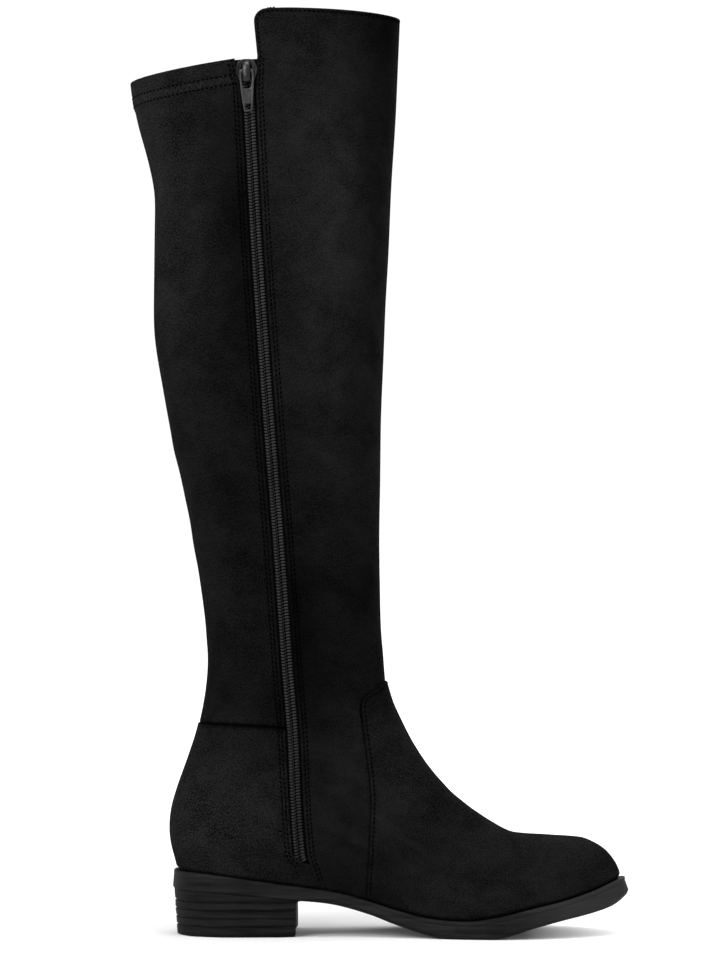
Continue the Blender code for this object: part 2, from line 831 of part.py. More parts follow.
def box_mesh(name, low, high):
    """A box between two corners, in millimetres."""
    low = Vector(low) * MM
    high = Vector(high) * MM
    mesh = bpy.data.meshes.new(name)
    edit = bmesh.new()
    bmesh.ops.create_cube(edit, size=1.0)
    bmesh.ops.scale(edit, vec=high - low, verts=edit.verts)
    bmesh.ops.translate(edit, vec=(high + low) / 2, verts=edit.verts)
    edit.to_mesh(mesh)
    edit.free()
    return mesh


def add_helper(mesh, helpers, frame):
    helper = new_object(mesh.name, mesh, helpers)
    helper.matrix_local = frame
    helper.hide_render = True
    helper.display_type = "WIRE"
    return helper


def boolean(target, helper, operation):
    modifier = target.modifiers.new(helper.name, "BOOLEAN")
    modifier.operation = operation
    modifier.object = helper
    modifier.solver = "EXACT"


def mirrored(half):
    """An outline from its half at +x, listed from the top down."""
    return list(half) + [(-x, y) for x, y in reversed(half)]


def add_slider(parts, helpers, frame):
    """Front plate, back plate behind the tapes, the post between them, and the pull's bridge."""
    plate = outline_mesh("zip_slider", [mirrored(PLATE_HALF)], PLATE_OUT[1] - PLATE_OUT[0])
    plate.transform(Matrix.Translation((0.0, 0.0, sum(PLATE_OUT) / 2 * MM)))
    metal = material("slider_metal", (0.09,) * 3, 0.35, 1.0)
    slider = new_object("zip_slider", plate, parts, metal)
    slider.matrix_local = frame

    lower, upper = BRIDGE_REACH
    low = PLATE_OUT[1] - FUSE
    roof = TUNNEL_TOP + ROOF
    arch = [(upper, low), (upper, 4.6), (upper - 1.4, roof), (lower + 1.6, roof), (lower, 4.2)]
    side_view = [
        [(lower, low)] + arch,
        [
            (lower + BRIDGE_LEG, PLATE_OUT[1]),
            (lower + BRIDGE_LEG, TUNNEL_TOP),
            (upper - BRIDGE_LEG, TUNNEL_TOP),
            (upper - BRIDGE_LEG, PLATE_OUT[1]),
        ],
    ]
    bridge = outline_mesh("slider_bridge", side_view, 2 * BRIDGE_HALF)
    bridge.transform(Matrix(((0, 0, 1), (1, 0, 0), (0, 1, 0))).to_4x4())
    post_low = (-POST_HALF, POST_REACH[0], BACK_PLATE_OUT[1] - FUSE)
    post_high = (POST_HALF, POST_REACH[1], PLATE_OUT[0] + FUSE)
    post = box_mesh("slider_post", post_low, post_high)
    back_low = (-BACK_PLATE_HALF, BACK_PLATE_REACH[0], BACK_PLATE_OUT[0])
    back_high = (BACK_PLATE_HALF, BACK_PLATE_REACH[1], BACK_PLATE_OUT[1])
    back = box_mesh("slider_back", back_low, back_high)
    for mesh in (bridge, post, back):
        boolean(slider, add_helper(mesh, helpers, frame), "UNION")


def add_pull(parts, helpers, frame):
    """The pull tab, whose top bar turns in the slider's tunnel about its own x axis."""
    outlines = (PULL_SIDE + PULL_END, PULL_WINDOW, PULL_LOWER_WINDOW)
    loops = [mirrored(half) for half in outlines]
    mesh = outline_mesh("zip_pull", loops, PULL_THICKNESS)
    pull = new_object("zip_pull", mesh, parts, material("pull_metal", (0.11,) * 3, 0.38, 1.0))
    pivot = frame @ Matrix.Translation((0.0, 0.0, PIVOT_OUT))
    pull.matrix_local = pivot
    face = PULL_THICKNESS / 2
    recess_low = (-RECESS_HALF, RECESS_REACH[0], face - PULL_RECESS)
    recess_high = (RECESS_HALF, RECESS_REACH[1], face + FUSE)
    recess = box_mesh("pull_recess", recess_low, recess_high)
    boolean(pull, add_helper(recess, helpers, pivot), "DIFFERENCE")


def centre_on_origin(origin):
    """Moves the boot so that the bottom centre of its bounding box is the world's origin."""
    bpy.context.view_layer.update()
    graph = bpy.context.evaluated_depsgraph_get()
    corners = []
    for part in origin.children:
        if not part.hide_render:
            shape = part.evaluated_get(graph)
            corners += [shape.matrix_world @ Vector(corner) for corner in shape.bound_box]
    for axis in (0, 1):
        low = min(corner[axis] for corner in corners)
        high = max(corner[axis] for corner in corners)
        origin.location[axis] = -(low + high) / 2


def main():
    for old in list(bpy.data.objects):
        bpy.data.objects.remove(old)
    origin = bpy.data.objects.new("boot_origin", None)
    parts = bpy.data.collections.new("over_the_knee_boot")
    helpers = bpy.data.collections.new("cutters")
    bpy.context.scene.collection.children.link(parts)
    bpy.context.scene.collection.children.link(helpers)
    parts.objects.link(origin)
    add_outsole(parts)
    add_heel(parts)
    add_insole(parts)
    add_upper(parts)
    add_zip(parts)
    frame = zip_frame()
    add_slider(parts, helpers, frame)
    add_pull(parts, helpers, frame)
    centre_on_origin(origin)


main()
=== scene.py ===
"""The finish of an over-the-knee boot: its suede panels, zip, stitching, lining and sole.

Metres, +Z up. The tables are in millimetres from the back end of the sole (x), its middle
line (y) and the floor (z), and every piece is moved from there into the frame's place.
"""

import json
import math
from functools import lru_cache

import bmesh
import bpy
import numpy as np
from mathutils import Matrix, Vector
from mathutils.kdtree import KDTree


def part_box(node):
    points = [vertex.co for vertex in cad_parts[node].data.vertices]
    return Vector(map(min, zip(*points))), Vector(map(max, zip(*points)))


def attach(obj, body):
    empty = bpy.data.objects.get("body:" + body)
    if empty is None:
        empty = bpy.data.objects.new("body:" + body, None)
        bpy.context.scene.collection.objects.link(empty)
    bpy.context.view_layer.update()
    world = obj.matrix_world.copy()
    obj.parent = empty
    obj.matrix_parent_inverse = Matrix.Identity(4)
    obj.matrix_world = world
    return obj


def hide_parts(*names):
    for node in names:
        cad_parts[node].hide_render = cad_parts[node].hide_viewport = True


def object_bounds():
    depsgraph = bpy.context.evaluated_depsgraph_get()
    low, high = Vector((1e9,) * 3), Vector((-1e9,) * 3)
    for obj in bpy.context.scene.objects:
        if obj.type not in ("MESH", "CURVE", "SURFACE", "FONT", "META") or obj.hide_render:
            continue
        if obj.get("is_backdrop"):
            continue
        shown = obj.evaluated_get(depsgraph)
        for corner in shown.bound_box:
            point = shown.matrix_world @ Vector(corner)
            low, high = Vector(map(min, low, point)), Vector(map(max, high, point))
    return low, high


bl_info = {
    "name": "Over-the-knee boot",
    "version": (1, 0, 0),
    "blender": (4, 5, 0),
    "location": "3D View > Sidebar > Boot",
    "description": "Builds the panels, zip, stitching and sole of a zipped over-the-knee boot",
    "category": "Object",
}

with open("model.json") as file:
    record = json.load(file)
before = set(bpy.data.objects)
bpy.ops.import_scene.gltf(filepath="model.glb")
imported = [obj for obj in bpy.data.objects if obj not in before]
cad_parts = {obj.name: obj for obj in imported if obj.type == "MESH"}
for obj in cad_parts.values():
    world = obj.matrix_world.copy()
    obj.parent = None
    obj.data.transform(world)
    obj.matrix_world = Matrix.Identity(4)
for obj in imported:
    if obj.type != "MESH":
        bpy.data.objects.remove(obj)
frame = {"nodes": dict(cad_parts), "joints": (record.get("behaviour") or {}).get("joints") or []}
CAD_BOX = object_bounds()

MM = 0.001

# The boot's driving sizes
SOLE_LENGTH = 266.2 * MM
SEAT_GAP = 0.4 * MM
SIDE_LEAN = 0.6 * MM
TOE_LEAN = 2.0 * MM
LEAN_START = 190.0 * MM
HEEL_BREAST = 72.7 * MM
HEEL_INSET = 0.8 * MM
HEEL_TAPER = 1.8 * MM
HEEL_GROOVES = (6.0, 10.7, 15.4, 20.2)
HEEL_GAP = 0.1 * MM
HEEL_WANDER = 0.14 * MM
HEEL_FOOT = 1.8 * MM
HEEL_FILLET = 2.6 * MM
BREAST_HOLLOW = 1.2 * MM
VAMP_TOP = 147.0 * MM
COLLAR_BACK = 496.6 * MM
COLLAR_SIDE = 508.9 * MM
PANEL_SIDE = 536.8 * MM
PANEL_FRONT = 534.0 * MM
PANEL_CORNER = 8.0 * MM
PANEL_LEAN = 1.7 * MM
COUNTER_TOP = 0.785
SLOT_HALF = 4.4 * MM
SLOT_FLARE = (2.8 * MM, 1.6 * MM)
FLARE_START = 1.945
FLARE_POWER = 1.3
SLOT_END = 0.116
SLOT_CLOSING = 0.05
SLOT_ROUNDNESS = 0.38
ZIP_END = 1.996
PIVOT_LEVEL = 1.9833
PIVOT_OUT = 3.5 * MM
SLIDER_BEHIND = 2.0 * MM

# The upper's cross section and how its levels fan out over the foot
RING_SAMPLES = 401
ARCH_JOINT = 100.0 * MM
ARCH_SWELL = 0.045
ARCH_SWELL_HEIGHT = 8.0 * MM
TOE_POWER, HEEL_POWER, SIDE_POWER = 2.1, 1.8, 1.9
TOE_END = 200.0 * MM
TOE_BLEND = 60.0 * MM
OVAL_POWERS = (2.2, 2.1)
BLEND_LOW = 60.0 * MM
BLEND_HIGH = 130.0 * MM
RIDGE_PACE = 1.1
FRONT_LAG = 0.75
LAG_START = 0.3
FRONT_TURN = 5
BEHIND_RIDGE_CLIMB = 6.0
PANEL_SHARE = 0.46
COLLAR_POWER = 0.85
PANEL_DIP = 1.2 * MM
PANEL_DIP_SHARE = 0.3

# How far the outer face of each panel stands out, and the lining's thickness and gap
COUNTER_LIFT = 0.6 * MM
FRONT_LIFT = 0.5 * MM
VAMP_LIFT = 1.6 * MM
HEM_LIFT = 0.45 * MM
LINING_GAP = 0.05 * MM
LINING = 0.8 * MM

# Stitch rows, as distances from a panel's edge
FRONT_ROWS = (1.9 * MM, 3.8 * MM)
REAR_ROWS = (1.9 * MM, 3.9 * MM)
VAMP_ROW = 2.7 * MM
HEM_ROWS = (9.3 * MM, 14.5 * MM)
HEM_MARGIN = 2.0 * MM
HEM_STEP = 0.7 * MM

# x, half width and middle of the sole in plan
SOLE_OUTLINE = (
    (0, 0, 0), (14, 26, 0), (36, 32, 0), (60, 31.8, 0.6), (85, 30.2, 3.2), (108, 31.2, 5),
    (140, 38.5, 4.6), (165, 44.6, 3.2), (183, 46.6, 2.4), (205, 45, 2), (228, 39, 1.5),
    (247, 28.6, 0), (266.2, 0, -4),
)
# x, top and bottom of the sole from the side
SOLE_SIDE = (
    (0, 38, 27), (20, 36.6, 26.2), (44, 33.5, 24.6), (72.7, 29.2, 21.3), (92, 26.3, 19),
    (115, 20.5, 12.9), (130, 16, 7.4), (147, 12, 2.2), (158, 10.6, 0), (170, 10.2, 0),
    (185, 12, 0), (211, 17.8, 6.5), (225, 20.9, 10), (244, 26.4, 14.1), (255, 30.7, 17.3),
    (266.2, 34.7, 23.6),
)
# x, and the distance from the sole's outline in to the upper's lower edge
UPPER_INSET = ((0, 3.6), (30, 3), (110, 3), (165, 4.4), (230, 5.6), (266.2, 6))

# Lines of the side view as z and x, and the leg's half width by z
BACK_LINE = (
    (39, 3.6), (54, -1.2), (66, -1.7), (78, 0.6), (101, 8.2), (124, 15.6), (148, 19.9),
    (160, 20.5), (171, 19.9), (218, 14), (265, 4.7), (312, -4.7), (358, -11.1), (394, -11.1),
    (429, -10.5), (452, -14.6), (475, -21.1), (497, -24.6), (537, -26),
)
SHIN_LINE = (
    (147, 123.8), (160, 122.8), (171, 121.8), (195, 120.6), (230, 120), (265, 120.6),
    (312, 121.8), (358, 123.5), (394, 125.3), (440, 127.6), (497, 130.8), (537, 132.3),
)
ZIP_LINE = (
    (20, 86), (31, 80.4), (42.3, 76.2), (47, 74.8), (77, 72.4), (117, 70.6), (155, 67.5),
    (230, 62.3), (297, 57.1), (350, 53.3), (403, 49.7), (505, 44.5), (537, 43.3),
)
VAMP_LINE = (
    (10, 112), (22, 112.9), (79.5, 115.2), (94, 114), (124.6, 110), (137.3, 108.8),
    (147, 112), (537, 92),
)
LEG = (
    (60, 33), (125, 34), (160, 35.5), (218, 39), (288, 44), (360, 48), (430, 46.5),
    (497, 46), (537, 46.5),
)
# x and z of the middle line over the foot, from the toe to the top of the vamp
RIDGE_LINE = (
    (260.2, 33.1), (259.9, 34.4), (258.3, 39.2), (255.9, 43.5), (251.8, 48.1), (245.9, 51.8),
    (237.6, 54.8), (221, 55.9), (200.6, 57.2), (183.2, 65.3), (166.4, 77.8), (154.6, 89.3),
    (145.4, 100.8), (138, 112.6), (132.2, 124), (127.2, 135.3), (123.8, 147),
)


# ---------------------------------------------------------------- numbers and lines


def lerp(a, b, t):
    return a + (b - a) * t


def smoothstep(t):
    t = np.clip(t, 0.0, 1.0)
    return t * t * (3 - 2 * t)


def bump(distance, width):
    """A soft hump of height 1 at distance 0."""
    return np.exp(-((distance / width) ** 2))


def fillet(distance, radius):
    """How far a round corner stands off its sharp one, by the distance along one side."""
    share = np.clip(1 - distance / radius, 0.0, 1.0)
    return radius * (1 - np.sqrt(1 - share**2))


def unit(vectors):
    return vectors / np.linalg.norm(vectors, axis=-1, keepdims=True)


def lengths(line):
    """Arc length at each point of a line."""
    return np.concatenate([[0.0], np.cumsum(np.linalg.norm(np.diff(line, axis=0), axis=1))])


def read_rows(at, knots, rows):
    """The rows of a table that lie at some values of its knots."""
    return np.stack([np.interp(at, knots, column) for column in rows.T], axis=-1)


def curve(table, column=1):
    """A monotone smooth curve of one column of a table over its first, as a function in metres."""
    table = np.array(table, float)
    knots, values = table[:, 0] * MM, table[:, column] * MM
    steps = np.diff(knots)
    slopes = np.diff(values) / steps
    tangents = np.concatenate([slopes[:1], np.zeros(len(slopes) - 1), slopes[-1:]])
    before, after = slopes[:-1], slopes[1:]
    same = before * after > 0
    tangents[1:-1][same] = (2 * before * after)[same] / (before + after)[same]

    def read(at):
        at = np.clip(at, knots[0], knots[-1])
        cell = np.clip(np.searchsorted(knots, at) - 1, 0, len(steps) - 1)
        t = (at - knots[cell]) / steps[cell]
        start = (1 + 2 * t) * (1 - t) ** 2 * values[cell]
        start = start + t * (1 - t) ** 2 * steps[cell] * tangents[cell]
        end = t**2 * (3 - 2 * t) * values[cell + 1]
        return start + (end + t**2 * (t - 1) * steps[cell] * tangents[cell + 1])

    return read


def softened(line, reach=7.0 * MM):
    """A curve averaged over a short stretch, which takes its kinks out."""
    shifts = np.linspace(-reach, reach, 5)
    return lambda at: sum(line(np.asarray(at) + shift) for shift in shifts) / len(shifts)


# ---------------------------------------------------------------- the boot's shape


sole_centre = curve(SOLE_OUTLINE, 2)
sole_top = curve(SOLE_SIDE, 1)
sole_bottom = curve(SOLE_SIDE, 2)
upper_inset = curve(UPPER_INSET)
back_line = softened(curve(BACK_LINE))
shin_line = curve(SHIN_LINE)
leg_half_width = softened(curve(LEG))
zip_line = curve(ZIP_LINE)
vamp_line = curve(VAMP_LINE)


def turned_outline():
    """The sole's half width against the angle round an ellipse, which keeps both ends round."""
    table = np.array(SOLE_OUTLINE, float)
    share = np.clip(table[:, 0] * MM / SOLE_LENGTH, 0.0, 1.0)
    table[:, 0] = np.arccos(1 - 2 * share) / MM
    return curve(table)


outline_half_width = turned_outline()


def along_sole(angle):
    return SOLE_LENGTH * (1 - np.cos(angle)) / 2


def sole_outline(angle, inset=0.0):
    """Points (x, y) round the sole: from the heel at 0, along the inner side, to the toe at pi."""

    def plain(turn):
        x = along_sole(turn)
        side = np.where(np.sin(turn) >= 0, -1.0, 1.0)
        half = outline_half_width(np.arccos(np.clip(np.cos(turn), -1.0, 1.0)))
        return np.stack([x, sole_centre(x) + side * half], axis=-1)

    small = 1e-4
    along = unit(plain(angle + small) - plain(angle - small))
    outward = np.stack([along[..., 1], -along[..., 0]], axis=-1)
    return plain(angle) - outward * np.asarray(inset)[..., None]


def feather_sides():
    """The upper's lower edge as two lines of (x, y): the inner and the outer side, heel to toe."""
    turn = np.linspace(0.0, math.pi, 400)
    angles = turn, 2 * math.pi - turn
    return [sole_outline(angle, upper_inset(along_sole(angle))) for angle in angles]


FEATHER_INNER, FEATHER_OUTER = feather_sides()


def feather(x):
    """Centre and half width of the upper's lower edge at x."""
    inner = np.interp(x, FEATHER_INNER[:, 0], FEATHER_INNER[:, 1])
    outer = np.interp(x, FEATHER_OUTER[:, 0], FEATHER_OUTER[:, 1])
    return (inner + outer) / 2, (outer - inner) / 2


def dense_ridge():
    """The ridge line as many points (share of its length, x, z), from the toe to the vamp's top."""
    corners = np.array(RIDGE_LINE)
    share = lengths(corners)
    table = np.column_stack([share / share[-1] / MM, corners])
    at = np.linspace(0.0, 1.0, 500)
    return np.column_stack([at, curve(table, 1)(at), curve(table, 2)(at)])


RIDGE = dense_ridge()


def ridge_height(x):
    """Height of the ridge at x. Behind its top it climbs on, out of the way."""
    top = RIDGE[-1, 2] + BEHIND_RIDGE_CLIMB * (RIDGE[-1, 1] - x)
    return np.where(x < RIDGE[-1, 1], top, np.interp(x, RIDGE[::-1, 1], RIDGE[::-1, 2]))


def front_line(z):
    return np.where(z > VAMP_TOP, shin_line(z), np.interp(z, RIDGE[:, 2], RIDGE[:, 1]))


def cross_section(x, z):
    """Centre and half width of the upper at (x, z): an arch at the foot, an oval round the leg."""
    centre, _ = feather(x)
    low = sole_top(x) + SEAT_GAP
    climb = np.clip((z - low) / np.maximum(ridge_height(x) - low, 1e-6), 0.0, 1.0)
    stretch = (ARCH_JOINT - FEATHER_INNER[0, 0]) / (ARCH_JOINT - back_line(z))
    _, half = feather(np.where(x < ARCH_JOINT, ARCH_JOINT - (ARCH_JOINT - x) * stretch, x))
    swell = 1 + ARCH_SWELL * (1 - np.exp(-(z - low) / ARCH_SWELL_HEIGHT))
    roundness = lerp(TOE_POWER, HEEL_POWER, smoothstep((TOE_END - x) / TOE_BLEND))
    arch = half * swell * (1 - climb**roundness) ** (1 / SIDE_POWER)

    rear, front = back_line(z), front_line(z)
    across = np.clip((2 * x - rear - front) / (front - rear), -1.0, 1.0)
    oval = leg_half_width(z) * (1 - np.abs(across) ** OVAL_POWERS[0]) ** (1 / OVAL_POWERS[1])
    blend = smoothstep((z - BLEND_LOW) / (BLEND_HIGH - BLEND_LOW))
    return centre * (1 - blend), lerp(arch, oval, blend)


def ring_side(level):
    """One level of the upper in side view: x and z from its back to its front. Levels 0 to 1 fan
    out over the foot, 1 to 2 are the leg, and 2 to 3 the front panel above the back's collar."""
    u = (1 - np.cos(np.linspace(0.0, math.pi, RING_SAMPLES))) / 2
    if level <= 1:
        rear_x = back_line(lerp(sole_top(0.0) + SEAT_GAP, VAMP_TOP, level))
        front_x, front_z = read_rows(level**RIDGE_PACE, RIDGE[:, 0], RIDGE[:, 1:])
        x = lerp(rear_x, front_x, u)
        lag = FRONT_LAG * (1 - level) * smoothstep((u - LAG_START) / (1 - LAG_START))
        z = lerp(sole_top(x) + SEAT_GAP, VAMP_TOP, level * (1 - lag))
        return x, z + (front_z - z[-1]) * (1 - (1 - u**FRONT_TURN) ** (1 / FRONT_TURN))
    low = lerp(COLLAR_BACK, COLLAR_SIDE, np.clip(u / PANEL_SHARE, 0.0, 1.0) ** COLLAR_POWER)
    over = np.clip((u - PANEL_SHARE) / (1 - PANEL_SHARE), 0.0, 1.0)
    dip = PANEL_DIP * np.clip(1 - over / PANEL_DIP_SHARE, 0.0, 1.0) ** 2
    high = lerp(PANEL_SIDE, PANEL_FRONT, over**3) - dip
    z = lerp(VAMP_TOP, low, level - 1) if level <= 2 else lerp(low, high, level - 2)
    return lerp(back_line(z[0]), shin_line(z[-1]), u), z


@lru_cache(maxsize=None)
def ring(level):
    """One level as a closed line round the leg, from the back by the inner side, and its arcs."""
    x, z = ring_side(level)
    centre, half = cross_section(x, z)
    half[[0, -1]] = 0.0
    inner = np.stack([x, centre - half, z], axis=-1)
    outer = np.stack([x, centre + half, z], axis=-1)
    points = np.concatenate([inner, outer[-2::-1]])
    return points, lengths(points)


def crossing(level, line, outer=False):
    """Arc length at which a ring's inner or outer half crosses a line of the side view."""
    points, arcs = ring(level)
    half = slice(RING_SAMPLES - 1, None) if outer else slice(0, RING_SAMPLES)
    ahead = points[half, 0] - line(points[half, 2])
    order = -1 if outer else 1
    return np.interp(0.0, ahead[::order], arcs[half][::order])


def at_arc(level, where):
    points, arcs = ring(level)
    return read_rows(np.asarray(where) % arcs[-1], arcs, points)


def on_zip(level):
    return at_arc(level, crossing(level, zip_line))


def slot_width(level):
    """Width of the zip's slot, whose lower end closes in a blunt curve."""
    rise = np.clip((level - SLOT_END) / SLOT_CLOSING, 0.0, 1.0)
    return 2 * SLOT_HALF * (1 - (1 - rise) ** 2) ** SLOT_ROUNDNESS


def slot_edge(level, front):
    """How far the slot's rear or front edge is from the zip's middle. Near the top it flares."""
    flare = float(np.clip((level - FLARE_START) / (2 - FLARE_START), 0.0, 1.0))
    return SLOT_HALF + SLOT_FLARE[front] * flare**FLARE_POWER


def front_edge(level):
    """Arc length of the front panel's edge by the zip."""
    return crossing(level, zip_line) + slot_edge(level, 1) + panel_corner(level)


def outer_seam(level):
    """Arc length of the seam between the front and the back panel, on the outer side."""
    return crossing(level, zip_line, outer=True) - slot_edge(level, 1)


def panel_corner(level):
    """How far the front panel's side edge draws in at its top corner, below which it leans out."""
    if level <= 2:
        return 0.0
    below_top = (3 - level) * (PANEL_SIDE - COLLAR_SIDE)
    return fillet(below_top, PANEL_CORNER) - PANEL_LEAN * (level - 2)


# ---------------------------------------------------------------- meshes


def own_shift():
    """From the boot's own origin to the frame's, read from where the frame holds the sole."""
    low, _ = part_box("outsole")
    side = sole_outline(np.linspace(0.0, math.pi, 721))[:, 1].min()
    return Vector((low.x, low.y - side, 0.0))


SHIFT = own_shift()
# Edges flatter than this, in degrees, are shaded smooth
SMOOTH_BELOW = 50


def sheet(edit, across, along, place):
    """A grid of quads moved into place, where place takes shares of its width and its height."""
    made = bmesh.ops.create_grid(edit, x_segments=across, y_segments=along, size=0.5)["verts"]
    shares = np.array([vert.co[:2] for vert in made]) + 0.5
    for vert, point in zip(made, place(shares[:, 0], shares[:, 1])):
        vert.co = point
    return made


def row_by_row(edit, across, count, points):
    """A sheet whose rows are the points for a row's number and the shares of its width."""

    def place(u, v):
        row = np.rint(v * (count - 1)).astype(int)
        found = np.zeros((len(u), 3))
        for one in range(count):
            found[row == one] = points(one, u[row == one])
        return found

    sheet(edit, across, count - 1, place)


def gridded(edit, grid):
    """A sheet through a grid of points."""
    rows, columns = grid.shape[:2]

    def points(row, share):
        return grid[row, np.rint(share * (columns - 1)).astype(int)]

    row_by_row(edit, columns - 1, rows, points)


def merge(edit, distance=1e-6):
    bmesh.ops.remove_doubles(edit, verts=edit.verts, dist=distance)
    bmesh.ops.recalc_face_normals(edit, faces=edit.faces)


def mesh_of(name, edit):
    mesh = bpy.data.meshes.new(name)
    edit.to_mesh(mesh)
    edit.free()
    return mesh


def placed(name, data):
    made = bpy.data.objects.new(name, data)
    bpy.context.scene.collection.objects.link(made)
    return made


def piece(name, edit, finish, slot, body="boot", nodes=(), smooth=SMOOTH_BELOW, shift=SHIFT):
    """The object of a finished bmesh, which rides on a body and may stand for CAD nodes."""
    bmesh.ops.translate(edit, vec=shift, verts=edit.verts)
    mesh = mesh_of(name, edit)
    mesh.materials.append(finish)
    mesh.shade_smooth()
    mesh.set_sharp_from_angle(angle=math.radians(smooth))
    made = placed(name, mesh)
    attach(made, body)
    if nodes:
        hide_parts(*nodes)
    return made


def paint(mesh, cloth, **layers):
    """Stores the cloth's own map in metres, and numbers for each point as attributes."""
    corners = np.zeros(len(mesh.loops), np.int32)
    mesh.loops.foreach_get("vertex_index", corners)
    uv = mesh.uv_layers.new(name="cloth")
    uv.uv.foreach_set("vector", cloth[corners].astype(np.float32).ravel())
    for name, values in layers.items():
        layer = mesh.attributes.new(name, "FLOAT", "POINT")
        layer.data.foreach_set("value", values.astype(np.float32))


def thicken(made, thickness, rounding=0.25 * MM):
    """A wall inwards from a piece's open sheet, with its rim rounded."""
    wall = made.modifiers.new("wall", "SOLIDIFY")
    wall.thickness = thickness
    wall.offset = -1
    rim = made.modifiers.new("rim", "BEVEL")
    rim.width = rounding
    rim.segments = 2
    rim.limit_method = "ANGLE"
    rim.angle_limit = math.radians(55)
    rim.use_clamp_overlap = True


# Distances from an edge at which a panel's mesh has lines, close together where it is stitched
NEAR_EDGE = (0, 0.2, 0.45, 0.8, 1.2, 1.5, 1.8, 2.1, 2.4, 2.7, 3, 3.4, 3.8, 4.2, 4.6, 5, 5.5, 6.4)
NEAR_EDGE = np.array(NEAR_EDGE) * MM


def between(start, end, cells):
    """Arc lengths across a panel: crowded inside both its edges, even between them."""
    low, high = start + NEAR_EDGE, end - NEAR_EDGE[::-1]
    return np.concatenate([low, np.linspace(low[-1], high[0], cells + 1)[1:-1], high])


def tree_of(points):
    """A lookup of the nearest of some points."""
    tree = KDTree(len(points))
    for index, point in enumerate(points):
        tree.insert(point, index)
    tree.balance()
    return tree


def distance_to(grid, border):
    """Straight distances from every point of a grid to the nearest point of a border line."""
    tree = tree_of(border[:, :3])
    found = [tree.find(point)[2] for point in grid.reshape(-1, 3)]
    return np.array(found).reshape(grid.shape[:-1])


def resampled(line, step):
    """A line's rows again, evenly about a step apart along their first three columns."""
    arcs = lengths(line[:, :3])
    at = np.linspace(0.0, arcs[-1], max(2, int(round(arcs[-1] / step)) + 1))
    return read_rows(at, arcs, line)


class Panel:
    """A piece of the upper: its middle surface, its edges and its finished outer face."""

    def __init__(self, levels, columns, lift=0.0):
        self.levels = levels
        self.places = np.array([columns(level) for level in levels])
        self.base = np.array([at_arc(*row) for row in zip(levels, self.places)])
        normal = np.cross(np.gradient(self.base, axis=1), np.gradient(self.base, axis=0))
        normal[..., 2] += 1e-12
        self.normal = unit(normal)
        self.lift = waves(self.base) + lift
        # How much painted shade darkens each point: along stitch rows, seams and the vamp's edge
        self.seam = np.zeros(self.places.shape)

    def trimmed(self, shares):
        """Cuts each column off at its share of the height."""
        index = np.arange(len(self.levels), dtype=float)
        for values in (self.base, self.normal, self.lift[..., None]):
            for column, share in enumerate(shares):
                at = np.interp(self.levels * share, self.levels, index)
                values[:, column] = read_rows(at, index, values[:, column])

    def rim(self, *sides, levels=(0.0, 3.0), deep=11):
        """The border along some sides, in order, with a point further in beside each point."""
        inside = (self.levels >= levels[0]) & (self.levels <= levels[1])
        parts = []
        for side in sides:
            lines = self.base[inside].swapaxes(0, 1) if side in ("first", "last") else self.base
            edge, within = (-1, -1 - deep) if side in ("last", "top") else (0, deep)
            part = np.concatenate([lines[edge], lines[within]], axis=1)
            parts.append(part[::-1] if side in ("last", "bottom") else part)
        return resampled(np.concatenate(parts), 0.25 * MM)

    def near(self, *sides, **kept):
        """How far every point is from the border along some sides."""
        return distance_to(self.base, self.rim(*sides, **kept))

    def roll(self, distance, radius=0.55 * MM, drop=0.45 * MM):
        """Rounds the outer face over at an edge."""
        self.lift -= fillet(distance, radius) * drop / radius

    # Paints shade into the cloth's colour: a darker band along a stitch row, a seam or an edge
    def paint_shade(self, distance, strength, width):
        self.seam = np.maximum(self.seam, strength * bump(distance, width))

    def stitched(self, distance, rows, depth=0.26 * MM, width=0.6 * MM, puff=0.16 * MM):
        """Sinks the cloth along stitch rows, paints shade into them and lets the cloth swell a
        little beside them.
        """
        for row in rows:
            self.lift -= depth * bump(distance - row, width)
            self.paint_shade(distance - row, 1.2, 0.5 * MM)
        self.lift += puff * bump(distance - rows[0] * 0.5, rows[0] * 0.3)

    def turned_under(self, depth=1.0 * MM, reach=2.5 * MM):
        """Draws the lower edge in under the upper."""
        self.lift -= depth * np.clip(1 - self.near("bottom") / reach, 0.0, 1.0) ** 2

    def pucker(self, side):
        """Draws the cloth in at a plain seam, a little unevenly, and paints shade along it."""
        distance = self.near(side)
        x, y = self.base[..., 0] / MM, self.base[..., 1] / MM
        uneven = 1 + 0.22 * np.sin(x * 1.7 + y * 1.3) + 0.16 * np.sin(x * 0.61 - y * 0.8)
        self.roll(distance, radius=1.3 * MM * uneven, drop=1.0 * MM)
        self.paint_shade(distance, 3.6, 1.7 * MM * uneven)

    @property
    def face(self):
        return self.base + self.normal * self.lift[..., None]

    def build(self, name, finish, thickness, nodes=()):
        edit = bmesh.new()
        gridded(edit, self.face)
        made = piece(name, edit, finish, "black_suede", nodes=nodes)
        up = lengths(self.base[:, self.base.shape[1] // 2]) + self.levels[0] * 0.12
        cloth = np.stack([self.places, np.broadcast_to(up[:, None], self.places.shape)], axis=-1)
        # The nap's tone, partly painted shade and light
        nap = nap_tone(self.base).ravel()
        paint(made.data, cloth.reshape(-1, 2), seam=self.seam.ravel(), nap=nap)
        thicken(made, thickness)


def inset(panels, border, distance):
    """A border line moved inwards and laid on the panels' outer faces, with its normals."""
    points = np.concatenate([panel.face.reshape(-1, 3) for panel in panels])
    normals = np.concatenate([panel.normal.reshape(-1, 3) for panel in panels])
    tree = tree_of(points)

    def nearest(line):
        return np.array([tree.find(point)[1] for point in line])

    edge = border[:, :3]
    inward = np.cross(normals[nearest(edge)], np.gradient(edge, axis=0))
    inward /= np.maximum(np.linalg.norm(inward, axis=1, keepdims=True), 1e-9)
    inward *= np.sign(((border[:, 3:] - edge) * inward).sum(axis=1, keepdims=True))
    moved = edge + inward * distance
    line = resampled(moved[distance_to(moved, edge) > distance * 0.93], 0.5 * MM)
    near = nearest(line)
    height = ((line - points[near]) * normals[near]).sum(axis=1, keepdims=True)
    return line - normals[near] * height, normals[near]


